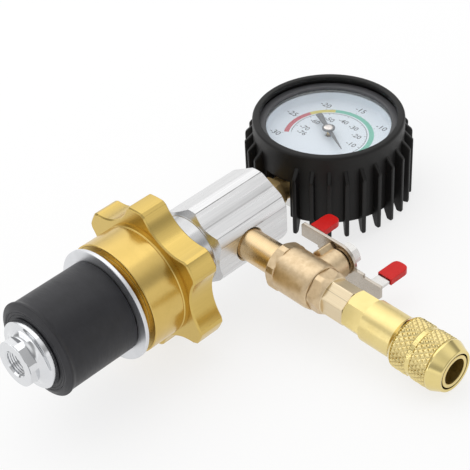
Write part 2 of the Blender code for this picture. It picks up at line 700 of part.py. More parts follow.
def make_plug_end(bung_axis):
    """Washer, rubber bung, hollow stem with its seal, and the flanged end nut."""
    washer = [
        (washer_rear, stem_bore_radius),
        (washer_rear, WASHER_RADIUS - EDGE_BREAK / 2),
        (washer_rear + EDGE_BREAK / 2, WASHER_RADIUS),
        (washer_front - EDGE_BREAK / 2, WASHER_RADIUS),
        (washer_front, WASHER_RADIUS - EDGE_BREAK / 2),
        (washer_front, stem_bore_radius),
    ]
    turned("compression_washer", washer, bung_axis, "polished_aluminium", ROUND_LARGE)
    rear_corner = PLUG_REAR_ROUND * corner_share
    front_corner = PLUG_FRONT_CHAMFER * corner_share
    plug = [
        (plug_rear, stem_bore_radius),
        (plug_rear, PLUG_RADIUS - PLUG_REAR_ROUND),
        (plug_rear + rear_corner, PLUG_RADIUS - rear_corner),
        (plug_rear + PLUG_REAR_ROUND, PLUG_RADIUS),
        (plug_front - PLUG_FRONT_CHAMFER, PLUG_RADIUS),
        (plug_front - front_corner, PLUG_RADIUS - front_corner),
        (plug_front, PLUG_RADIUS - PLUG_FRONT_CHAMFER),
        (plug_front, stem_bore_radius),
    ]
    turned("rubber_plug", plug, bung_axis, "grey_rubber", ROUND_LARGE)
    stem = [
        (stem_rear, STEM_BORE_RADIUS),
        (stem_rear, STEM_RADIUS - EDGE_BREAK),
        (stem_rear + EDGE_BREAK, STEM_RADIUS),
        (stem_shoulder, STEM_RADIUS),
        (stem_shoulder, STEM_TIP_RADIUS),
        (stem_tip - EDGE_BREAK, STEM_TIP_RADIUS),
        (stem_tip, STEM_TIP_RADIUS - EDGE_BREAK),
        (stem_tip, STEM_BORE_RADIUS),
    ]
    turned("main_stem", stem, bung_axis, "bare_aluminium", ROUND_SMALL)
    pipe("stem_seal", stem_bore_rear + FIT, stem_bore_rear + FIT + SEAL_THICKNESS,
         CHANNEL_RADIUS + FIT, STEM_RADIUS, bung_axis, "dark_seal", ROUND_SMALL)
    nut_hex = prism("nut_hex_shape", hexagon(NUT_HEX_FLAT_RADIUS, NUT_HEX_PHASE),
                    nut_flange_front - EDGE_BREAK, nut_hex_front, bung_axis, None)
    flange = [
        (nut_rear, 0),
        (nut_rear, NUT_FLANGE_RADIUS - EDGE_BREAK),
        (nut_rear + EDGE_BREAK, NUT_FLANGE_RADIUS),
        (nut_flange_front - EDGE_BREAK, NUT_FLANGE_RADIUS),
        (nut_flange_front, NUT_FLANGE_RADIUS - EDGE_BREAK),
        (nut_flange_front, NUT_HEX_FLAT_RADIUS - EDGE_BREAK),
        (nut_hex_front - EDGE_BREAK, NUT_HEX_FLAT_RADIUS - EDGE_BREAK),
        (nut_hex_front - EDGE_BREAK, NUT_END_RADIUS),
        (nut_front - NUT_END_CHAMFER, NUT_END_RADIUS),
        (nut_front, NUT_END_RADIUS - NUT_END_CHAMFER),
        (nut_front, 0),
    ]
    nut = turned("end_nut", flange, bung_axis, "bare_aluminium", ROUND_MEDIUM)
    combine(nut, nut_hex, "UNION")
    bore = rod("nut_bore_shape", nut_rear - OVERRUN, nut_front + OVERRUN, STEM_TIP_RADIUS + FIT,
               bung_axis, None, ROUND_SMALL)
    combine(nut, bore, "DIFFERENCE")


def make_gauge_socket(bung_axis, dial_axis):
    """Brass socket: stub in the block, hexagon, spigot through the case, block for the tube."""
    case_inside = gauge_distance - socket_block_far
    shank = [
        (-case_inside - OVERRUN, 0),
        (-case_inside - OVERRUN, SOCKET_SPIGOT_RADIUS),
        (socket_hex_rear + EDGE_BREAK, SOCKET_SPIGOT_RADIUS),
        (socket_hex_rear + EDGE_BREAK, SOCKET_STUB_RADIUS),
        (socket_stub_end - EDGE_BREAK, SOCKET_STUB_RADIUS),
        (socket_stub_end, SOCKET_STUB_RADIUS - EDGE_BREAK),
        (socket_stub_end, 0),
    ]
    socket = turned("gauge_socket", shank, bung_axis, "plain_brass", ROUND_SMALL)
    grip = prism("socket_hex_shape", hexagon(SOCKET_HEX_FLAT_RADIUS, 0),
                 socket_hex_rear, socket_hex_front, bung_axis, None)
    combine(socket, grip, "UNION")
    holder = box("socket_block_shape",
                 (-SOCKET_BLOCK_WIDTH / 2, -socket_block_far, -SOCKET_BLOCK_HEIGHT / 2),
                 (SOCKET_BLOCK_WIDTH / 2, -socket_block_near, SOCKET_BLOCK_HEIGHT / 2),
                 dial_axis, None)
    combine(socket, holder, "UNION")
    bore = rod("socket_bore_shape", socket_block_near + SOCKET_BLOCK_DEPTH / 2 - gauge_distance,
               socket_stub_end + OVERRUN, SOCKET_BORE_RADIUS, bung_axis, None, ROUND_TINY)
    combine(socket, bore, "DIFFERENCE")
    pipe("gauge_seal", rear_port_bottom - FIT - SEAL_THICKNESS, rear_port_bottom - FIT,
         CHANNEL_RADIUS + FIT, SOCKET_STUB_RADIUS, bung_axis, "dark_seal", ROUND_SMALL)


def make_gauge_shell(bung_axis, dial_axis):
    """Steel case, painted ring, clear window and dial plate."""
    case = [
        (-CASE_BACK, 0),
        (-CASE_BACK, CASE_RADIUS - EDGE_BREAK),
        (-CASE_BACK + EDGE_BREAK, CASE_RADIUS),
        (CASE_FRONT, CASE_RADIUS),
        (CASE_FRONT, case_inner_radius),
        (-CASE_BACK + CASE_WALL, case_inner_radius),
        (-CASE_BACK + CASE_WALL, 0),
    ]
    shell = turned("gauge_case", case, dial_axis, "zinc_steel", ROUND_MEDIUM)
    hole = rod("case_hole_shape", -gauge_distance + case_inner_radius - OVERRUN,
               -gauge_distance + CASE_RADIUS + OVERRUN, SOCKET_SPIGOT_RADIUS + FIT,
               bung_axis, None, ROUND_SMALL)
    combine(shell, hole, "DIFFERENCE")
    bezel = [
        (bezel_skirt_bottom, boot_inner_radius),
        (bezel_skirt_bottom, bezel_radius),
        (bezel_top - EDGE_BREAK, bezel_radius),
        (bezel_top, bezel_radius - EDGE_BREAK),
        (bezel_top, bezel_window_radius + EDGE_BREAK),
        (bezel_top - BEZEL_LIP_THICKNESS, bezel_window_radius),
        (bezel_seat, bezel_window_radius),
        (bezel_seat, boot_inner_radius),
    ]
    turned("bezel_ring", bezel, dial_axis, "painted_ring", ROUND_LARGE)
    rod("gauge_lens", lens_bottom, lens_top, CASE_RADIUS, dial_axis, "clear_window", ROUND_MEDIUM)
    pipe("dial_plate", dial_bottom, dial_top, DIAL_HOLE_RADIUS, dial_radius, dial_axis,
         "dial_paint", ROUND_MEDIUM)


def make_needle(dial_axis):
    """Pointer with its domed hub, and the pinion on the pointer's arbor."""
    needle_axis = add_empty("needle_axis", dial_axis, (0, 0, 0),
                            (*polar(1, NEEDLE_REST), 0), (0, 0, 1))
    root = NEEDLE_ROOT_WIDTH / 2
    tail = NEEDLE_TAIL_WIDTH / 2
    outline = [
        (-NEEDLE_TAIL_LENGTH, -tail),
        (-NEEDLE_HUB_RADIUS, -root),
        (NEEDLE_HUB_RADIUS, -root),
        (NEEDLE_LENGTH, -NEEDLE_TIP_WIDTH / 2),
        (NEEDLE_LENGTH, NEEDLE_TIP_WIDTH / 2),
        (NEEDLE_HUB_RADIUS, root),
        (-NEEDLE_HUB_RADIUS, root),
        (-NEEDLE_TAIL_LENGTH, tail),
    ]
    prism("needle", outline, needle_bottom, needle_top, needle_axis, "needle_grey")
    hub = [
        (needle_top + NEEDLE_FIT, 0),
        (needle_top + NEEDLE_FIT, NEEDLE_HUB_RADIUS),
        (needle_top + NEEDLE_HUB_HEIGHT / 2, NEEDLE_HUB_SHOULDER),
        (needle_top + NEEDLE_HUB_HEIGHT, NEEDLE_HUB_RADIUS / 2),
        (needle_top + NEEDLE_HUB_HEIGHT, 0),
    ]
    turned("needle_hub", hub, needle_axis, "zinc_steel", ROUND_SMALL)
    gear = prism("pinion", gear_outline(PINION_TIP_RADIUS, PINION_ROOT_RADIUS, PINION_TEETH, 0, TURN),
                 sector_bottom, sector_bottom + PINION_WIDTH, needle_axis, "plain_brass")
    arbor = rod("arbor_shape", back_plate_bottom, needle_bottom - NEEDLE_FIT, ARBOR_RADIUS,
                needle_axis, None, ROUND_TINY)
    combine(gear, arbor, "UNION")


def make_movement(dial_axis):
    """Two brass plates on posts, the toothed sector, the bent tube, its tip and the link."""
    half = PLATE_WIDTH / 2
    sector_axis = add_empty("sector_axis", dial_axis, (0, -sector_distance, 0),
                            (*polar(1, TURN / 4 + SECTOR_REST), 0), (0, 0, 1))
    plates = (
        ("movement_back_plate", back_plate_bottom, back_plate_reach),
        ("movement_front_plate", front_plate_bottom, FRONT_PLATE_REACH),
    )
    for name, bottom, reach in plates:
        top = bottom + PLATE_THICKNESS
        plate = box(name, (-half, -reach, bottom), (half, PLATE_TOP_REACH, top),
                    dial_axis, "plain_brass")
        for label, carrier in (("pinion", dial_axis), ("sector", sector_axis)):
            hole = rod(name + "_" + label + "_hole_shape", bottom - OVERRUN, top + OVERRUN,
                       ARBOR_RADIUS + FIT, carrier, None, ROUND_TINY)
            combine(plate, hole, "DIFFERENCE")
    corners = [
        (half - POST_INSET, PLATE_TOP_REACH - POST_INSET),
        (POST_INSET - half, PLATE_TOP_REACH - POST_INSET),
        (half - POST_INSET, POST_INSET - FRONT_PLATE_REACH),
    ]
    for number, (x, y) in enumerate(corners, 1):
        post_axis = add_empty("post_axis_" + str(number), dial_axis, (x, y, 0), (1, 0, 0), (0, 0, 1))
        rod("movement_post_" + str(number), back_plate_top + FIT, front_plate_bottom - FIT,
            POST_RADIUS, post_axis, "plain_brass", ROUND_TINY)
    make_sector(sector_axis)
    path = []
    for index in range(TUBE_POINTS + 1):
        angle = tube_start_angle + (TUBE_END - tube_start_angle) * index / TUBE_POINTS
        path.append((*polar(tube_path_radius, angle), 0))
    tube_along("bourdon_tube", path, TUBE_RADIUS, TUBE_BEVEL_STEPS, dial_axis, "plain_brass")
    tip_turn = (TIP_RADIUS + FIT) / tube_path_radius
    tip_x, tip_y = polar(tube_path_radius, TUBE_END + tip_turn)
    tip_axis = add_empty("tip_axis", dial_axis, (tip_x, tip_y, 0), (1, 0, 0), (0, 0, 1))
    tip = [
        (-TUBE_RADIUS, 0),
        (-TUBE_RADIUS, TIP_RADIUS),
        (TUBE_RADIUS, TIP_RADIUS),
        (TUBE_RADIUS, TIP_PIN_RADIUS),
        (link_bottom + LINK_THICKNESS, TIP_PIN_RADIUS),
        (link_bottom + LINK_THICKNESS, 0),
    ]
    turned("tube_tip", tip, tip_axis, "plain_brass", ROUND_TINY)
    make_link(dial_axis, tip_axis, Vector((tip_x, tip_y)))


def make_sector(sector_axis):
    """Toothed sector with its tail and arbor; local X points at the pinion."""
    teeth = gear_outline(SECTOR_RADIUS, SECTOR_RADIUS - SECTOR_ROOT_DEPTH, SECTOR_TEETH,
                         -SECTOR_HALF_ANGLE, SECTOR_HALF_ANGLE)
    tail = SECTOR_TAIL_WIDTH / 2
    outline = teeth + [
        (0, SECTOR_HUB_RADIUS),
        (-tail, SECTOR_TAIL_LENGTH),
        (-tail - SECTOR_TAIL_WIDTH, SECTOR_TAIL_LENGTH),
        (-SECTOR_HUB_RADIUS, 0),
        (0, -SECTOR_HUB_RADIUS),
    ]
    sector = prism("sector_gear", outline, sector_bottom, sector_bottom + SECTOR_THICKNESS,
                   sector_axis, "plain_brass")
    arbor = rod("sector_arbor_shape", back_plate_bottom, front_plate_top, ARBOR_RADIUS,
                sector_axis, None, ROUND_TINY)
    combine(sector, arbor, "UNION")


def make_link(dial_axis, tip_axis, tip):
    """Flat link from the tube's tip pin to a point over the sector's tail."""
    reach = SECTOR_TAIL_LENGTH - LINK_WIDTH / 2
    tail_x, tail_y = polar(reach, TURN / 2 + SECTOR_REST)
    tail = Vector((tail_x, tail_y - sector_distance))
    along = (tail - tip).normalized()
    side = Vector((-along.y, along.x)) * LINK_WIDTH / 2
    start = tip - along * LINK_WIDTH / 2
    outline = [start + side, start - side, tail - side, tail + side]
    link = prism("link_bar", [tuple(point) for point in outline], link_bottom,
                 link_bottom + LINK_THICKNESS, dial_axis, "plain_brass")
    hole = rod("link_hole_shape", link_bottom - OVERRUN, link_bottom + LINK_THICKNESS + OVERRUN,
               TIP_PIN_RADIUS + FIT / 2, tip_axis, None, ROUND_TINY)
    combine(link, hole, "DIFFERENCE")


def rib_outline():
    """Radius and height points of one boot rib, from its sloped top to its foot."""
    root = boot_radius - RIB_SINK
    foot = rib_outer_radius - RIB_FOOT_WIDTH
    return [
        (root, rib_top + RIB_SINK),
        (rib_outer_radius - RIB_CORNER, rib_top - RIB_TOP_SLOPE + RIB_CORNER),
        (rib_outer_radius, rib_top - RIB_TOP_SLOPE - RIB_CORNER),
        (rib_outer_radius, rib_bottom + RIB_CORNER),
        (rib_outer_radius - RIB_CORNER, rib_bottom),
        (foot, rib_bottom),
        (root, boot_back + EDGE_BREAK),
    ]


def make_boot(dial_axis):
    """Rubber boot: a cup with a lip over the ring, ribs outside and a notch for the socket."""
    corner = BOOT_EDGE_ROUND * corner_share
    cup = [
        (boot_back, boot_back_opening),
        (boot_back, boot_radius - EDGE_BREAK),
        (boot_back + EDGE_BREAK, boot_radius),
        (boot_top - BOOT_EDGE_ROUND, boot_radius),
        (boot_top - corner, boot_radius - corner),
        (boot_top, boot_radius - BOOT_EDGE_ROUND),
        (boot_top, boot_lip_radius + BOOT_EDGE_ROUND),
        (boot_top - BOOT_EDGE_ROUND, boot_lip_radius),
        (boot_lip_underside, boot_lip_radius),
        (boot_lip_underside, boot_bezel_radius),
        (boot_ledge, boot_bezel_radius),
        (boot_ledge, boot_inner_radius),
        (boot_back_inside, boot_inner_radius),
        (boot_back_inside, boot_back_opening),
    ]
    boot = turned("gauge_boot", cup, dial_axis, "black_rubber", ROUND_LARGE)
    ribs = bmesh.new()
    spacing = TURN / RIB_COUNT
    half = RIB_THICKNESS / 2
    for index in range(RIB_COUNT):
        angle = (index + 1 / 2) * spacing - TURN / 4
        sides = []
        for offset in (-half, half):
            loop = []
            for radius, height in rib_outline():
                x, y = polar(radius, angle)
                along = Vector((-math.sin(angle), math.cos(angle))) * offset
                loop.append(ribs.verts.new((x + along.x, y + along.y, height)))
            sides.append(loop)
        ribs.faces.new(sides[0])
        ribs.faces.new(sides[1])
        for step in range(len(sides[0])):
            after = (step + 1) % len(sides[0])
            ribs.faces.new((sides[0][step], sides[0][after], sides[1][after], sides[1][step]))
    combine(boot, close_mesh("boot_rib_shapes", ribs, dial_axis, None), "UNION")
    notch = box("boot_notch_shape",
                (-notch_half_width, -rib_outer_radius - OVERRUN, rib_bottom - OVERRUN),
                (notch_half_width, -boot_back_opening - OVERRUN, notch_top),
                dial_axis, None)
    combine(boot, notch, "DIFFERENCE")


def make_valve_body(valve_axis, handle_axis):
    """Cast body: inlet collar with a hexagon, round barrel, bonnet and its stop lug."""
    inlet_bore = NIPPLE_RADIUS + FIT
    barrel = [
        (collar_end - EDGE_BREAK, 0),
        (collar_end - EDGE_BREAK, BARREL_RADIUS),
        (barrel_end - EDGE_BREAK, BARREL_RADIUS),
        (barrel_end, BARREL_RADIUS - EDGE_BREAK),
        (barrel_end, 0),
    ]
    body = turned("valve_body", barrel, valve_axis, "cast_brass", ROUND_MEDIUM)
    collar = [
        (VALVE_INLET_DISTANCE, 0),
        (VALVE_INLET_DISTANCE, inlet_bore + INLET_LIP),
        (VALVE_INLET_DISTANCE + INLET_CONE_LENGTH, INLET_COLLAR_RADIUS),
        (collar_end, INLET_COLLAR_RADIUS),
        (collar_end, 0),
    ]
    collar_shape = turned("inlet_collar_shape", collar, valve_axis, None, ROUND_MEDIUM)
    flats = prism("inlet_hex_shape", hexagon(INLET_HEX_FLAT_RADIUS, INLET_HEX_PHASE),
                  VALVE_INLET_DISTANCE - OVERRUN, collar_end + OVERRUN, valve_axis, None)
    combine(collar_shape, flats, "INTERSECT")
    combine(body, collar_shape, "UNION")
    bonnet = [
        (0, 0),
        (0, BONNET_RADIUS),
        (BONNET_LENGTH - EDGE_BREAK, BONNET_RADIUS),
        (BONNET_LENGTH, BONNET_RADIUS - EDGE_BREAK),
        (BONNET_LENGTH, 0),
    ]
    combine(body, turned("bonnet_shape", bonnet, handle_axis, None, ROUND_SMALL), "UNION")
    lug_axis = add_empty("lug_axis", handle_axis, (0, 0, 0), (*polar(1, LUG_DIRECTION), 0), (0, 0, 1))
    lug = box("lug_shape", (BONNET_RADIUS / 2, -LUG_WIDTH / 2, BONNET_LENGTH - LUG_HEIGHT),
              (LUG_REACH, LUG_WIDTH / 2, BONNET_LENGTH - EDGE_BREAK), lug_axis, None)
    combine(body, lug, "UNION")
    cavity = [
        (VALVE_INLET_DISTANCE - OVERRUN, 0),
        (VALVE_INLET_DISTANCE - OVERRUN, inlet_bore),
        (VALVE_INLET_DISTANCE + INLET_SOCKET_DEPTH, inlet_bore),
        (VALVE_INLET_DISTANCE + INLET_SOCKET_DEPTH, NIPPLE_BORE_RADIUS),
        (cavity_start, NIPPLE_BORE_RADIUS),
        (cavity_start, cavity_radius),
        (barrel_end + OVERRUN, cavity_radius),
        (barrel_end + OVERRUN, 0),
    ]
    combine(body, turned("cavity_shape", cavity, valve_axis, None, ROUND_SMALL), "DIFFERENCE")
    roof = BONNET_LENGTH - BONNET_ROOF
    passage = [
        (0, 0),
        (0, packing_pocket_radius),
        (roof, packing_pocket_radius),
        (roof, SHAFT_RADIUS + FIT),
        (BONNET_LENGTH + OVERRUN, SHAFT_RADIUS + FIT),
        (BONNET_LENGTH + OVERRUN, 0),
    ]
    combine(body, turned("stem_passage_shape", passage, handle_axis, None, ROUND_SMALL), "DIFFERENCE")


def make_valve_inside(valve_axis, handle_axis):
    """Nipple, drilled ball with its slot, two seats, the screwed end and the packing."""
    pipe("inlet_nipple", nipple_start, nipple_end, NIPPLE_BORE_RADIUS, NIPPLE_RADIUS,
         valve_axis, "plain_brass", ROUND_MEDIUM)
    ball_profile = []
    for step in range(BALL_LATITUDES + 1):
        angle = TURN / 2 * step / BALL_LATITUDES
        reach = BALL_RADIUS * math.sin(angle) if 0 < step < BALL_LATITUDES else 0
        ball_profile.append((-BALL_RADIUS * math.cos(angle), reach))
    ball = turned("valve_ball", ball_profile, handle_axis, "zinc_steel", ROUND_SMALL)
    drill = rod("ball_bore_shape", ball_centre - BALL_RADIUS - OVERRUN,
                ball_centre + BALL_RADIUS + OVERRUN, BALL_BORE_RADIUS, valve_axis, None, ROUND_SMALL)
    combine(ball, drill, "DIFFERENCE")
    slot_half = SHAFT_TANG_THICKNESS / 2 + FIT
    slot = box("ball_slot_shape", (-BALL_RADIUS, -slot_half, shaft_tang_bottom - FIT),
               (BALL_RADIUS, slot_half, BALL_RADIUS + OVERRUN), handle_axis, None)
    combine(ball, slot, "DIFFERENCE")
    seat_bore = BALL_BORE_RADIUS + FIT
    seat_outer = cavity_radius - FIT
    contact = math.sqrt((BALL_RADIUS + FIT) ** 2 - seat_bore ** 2)
    heel = math.sqrt(BALL_RADIUS ** 2 - SEAT_STANDOFF ** 2) + FIT
    for name, way in (("ball_seat_inlet", -1), ("ball_seat_outlet", 1)):
        seat = [
            (ball_centre + way * contact, seat_bore),
            (ball_centre + way * (SEAT_STANDOFF + FIT), heel),
            (ball_centre + way * SEAT_STANDOFF, seat_outer),
            (ball_centre + way * seat_back, seat_outer),
            (ball_centre + way * seat_back, seat_bore),
        ]
        turned(name, seat, valve_axis, "white_polymer", ROUND_SMALL)
    spigot = [
        (end_spigot_start, 0),
        (end_spigot_start, cavity_radius - FIT),
        (end_hex_end - EDGE_BREAK, cavity_radius - FIT),
        (end_hex_end - EDGE_BREAK, OUTLET_SPIGOT_RADIUS),
        (outlet_spigot_end - EDGE_BREAK, OUTLET_SPIGOT_RADIUS),
        (outlet_spigot_end, OUTLET_SPIGOT_RADIUS - EDGE_BREAK),
        (outlet_spigot_end, 0),
    ]
    cap = turned("valve_end_cap", spigot, valve_axis, "cast_brass", ROUND_SMALL)
    nose = [
        (end_hex_start, 0),
        (end_hex_start, VALVE_END_HEX_RADIUS),
        ((end_hex_start + end_hex_end) / 2, VALVE_END_HEX_RADIUS),
        (end_hex_end, VALVE_END_HEX_NOSE_RADIUS),
        (end_hex_end, 0),
    ]
    nose_shape = turned("end_nose_shape", nose, valve_axis, None, ROUND_MEDIUM)
    flats = prism("end_hex_shape", hexagon(VALVE_END_HEX_FLAT_RADIUS, OUTLET_HEX_PHASE),
                  end_hex_start - OVERRUN, end_hex_end + OVERRUN, valve_axis, None)
    combine(nose_shape, flats, "INTERSECT")
    combine(cap, nose_shape, "UNION")
    bar = prism("outlet_bar_shape", hexagon(OUTLET_FLAT_RADIUS, OUTLET_HEX_PHASE),
                end_hex_end - EDGE_BREAK, outlet_end, valve_axis, None)
    combine(cap, bar, "UNION")
    bore = rod("end_bore_shape", end_spigot_start - OVERRUN, outlet_spigot_end + OVERRUN,
               BALL_BORE_RADIUS, valve_axis, None, ROUND_SMALL)
    combine(cap, bore, "DIFFERENCE")
    pipe("stem_packing", packing_bottom, packing_top, SHAFT_RADIUS + FIT, SHAFT_COLLAR_RADIUS,
         handle_axis, "white_polymer", ROUND_SMALL)


def wing_outline():
    """Butterfly plate: a disc with two tangent wings, one the half turn of the other."""
    outer = HANDLE_DISC_RADIUS
    corner = HANDLE_WING_CHAMFER
    bend = HANDLE_WING_INNER
    start = math.asin(bend / outer)
    wing = [
        (0, outer),
        (HANDLE_WING_LENGTH - corner, outer),
        (HANDLE_WING_LENGTH, outer - corner),
        (HANDLE_WING_LENGTH, bend),
        (outer * math.cos(start), bend),
    ]
    lower = [(-x, -y) for x, y in wing]
    left_arc = [polar(outer, TURN / 2 - start - (TURN / 4 - start) * step / HANDLE_ARC_STEPS)
                for step in range(1, HANDLE_ARC_STEPS)]
    right_arc = [(-x, -y) for x, y in left_arc]
    return left_arc + wing + right_arc + lower


def make_handle(handle_axis):
    """Stem with its tang, butterfly plate with bent ears, red caps and the nut."""
    shaft = [
        (shaft_tang_bottom + SHAFT_TANG_DEPTH + FIT, 0),
        (shaft_tang_bottom + SHAFT_TANG_DEPTH + FIT, SHAFT_RADIUS),
        (shaft_collar_bottom, SHAFT_RADIUS),
        (shaft_collar_bottom, SHAFT_COLLAR_RADIUS),
        (shaft_collar_top, SHAFT_COLLAR_RADIUS),
        (shaft_collar_top, SHAFT_RADIUS),
        (handle_nut_top + SHAFT_PROUD, SHAFT_RADIUS),
        (handle_nut_top + SHAFT_PROUD, 0),
    ]
    stem = turned("valve_stem", shaft, handle_axis, "plain_brass", ROUND_SMALL)
    tang = box("tang_shape", (-SHAFT_TANG_WIDTH / 2, -SHAFT_TANG_THICKNESS / 2, shaft_tang_bottom),
               (SHAFT_TANG_WIDTH / 2, SHAFT_TANG_THICKNESS / 2, shaft_collar_bottom),
               handle_axis, None)
    combine(stem, tang, "UNION")
    plate = prism("handle_plate", wing_outline(), handle_plate_bottom, handle_plate_top,
                  handle_axis, "zinc_steel")
    hole_radius = SHAFT_RADIUS + FIT
    hole = rod("handle_hole_shape", handle_plate_bottom - OVERRUN, handle_plate_top + OVERRUN,
               hole_radius, handle_axis, None, ROUND_SMALL)
    combine(plate, hole, "DIFFERENCE")
    ear_top = handle_plate_bottom + EAR_LENGTH
    bare_top = handle_plate_top + EAR_BARE_LENGTH
    middle_x = HANDLE_WING_LENGTH - EAR_WIDTH / 2
    middle_y = HANDLE_WING_INNER + PLATE_METAL / 2
    turns = (("left", TURN / 2), ("right", 0))
    for side, angle in turns:
        ear_axis = add_empty("ear_axis_" + side, handle_axis, (0, 0, 0), (*polar(1, angle), 0), (0, 0, 1))
        levels = [
            (handle_plate_bottom + PLATE_METAL / 2, EAR_WIDTH),
            (bare_top, EAR_WIDTH),
            (bare_top, EAR_TONGUE_WIDTH),
            (ear_top - FIT - CAP_CORNER / 2, EAR_TONGUE_WIDTH),
        ]
        outline = [(middle_x - width / 2, height) for height, width in levels]
        outline += [(middle_x + width / 2, height) for height, width in reversed(levels)]
        loops = [[(x, middle_y + offset, z) for x, z in outline]
                 for offset in (-PLATE_METAL / 2, PLATE_METAL / 2)]
        combine(plate, stacked("ear_shape_" + side, loops, ear_axis, None), "UNION")
        cap_bottom = bare_top + FIT
        cap_top = cap_bottom + CAP_LENGTH
        corner = CAP_CORNER
        middle = CAP_CORNER * corner_share
        half = CAP_WIDTH / 2
        face = [
            (middle_x - half, cap_bottom),
            (middle_x + half, cap_bottom),
            (middle_x + half, cap_top - corner),
            (middle_x + half - middle, cap_top - middle),
            (middle_x + half - corner, cap_top),
            (middle_x - half + corner, cap_top),
            (middle_x - half + middle, cap_top - middle),
            (middle_x - half, cap_top - corner),
        ]
        loops = [[(x, middle_y + offset, z) for x, z in face]
                 for offset in (-CAP_THICKNESS / 2, CAP_THICKNESS / 2)]
        grip = stacked("grip_" + side, loops, ear_axis, "red_vinyl")
        pocket_x = EAR_TONGUE_WIDTH / 2 + FIT
        pocket_y = PLATE_METAL / 2 + FIT
        pocket = box("grip_pocket_shape_" + side,
                     (middle_x - pocket_x, middle_y - pocket_y, cap_bottom - OVERRUN),
                     (middle_x + pocket_x, middle_y + pocket_y, ear_top - CAP_CORNER / 2),
                     ear_axis, None)
        combine(grip, pocket, "DIFFERENCE")
    nut = prism("handle_nut", hexagon(HANDLE_NUT_FLAT_RADIUS, TURN / 12), handle_nut_bottom,
                handle_nut_top, handle_axis, "zinc_steel")
    nut_hole = rod("handle_nut_hole_shape", handle_nut_bottom - OVERRUN, handle_nut_top + OVERRUN,
                   hole_radius, handle_axis, None, ROUND_SMALL)
    combine(nut, nut_hole, "DIFFERENCE")


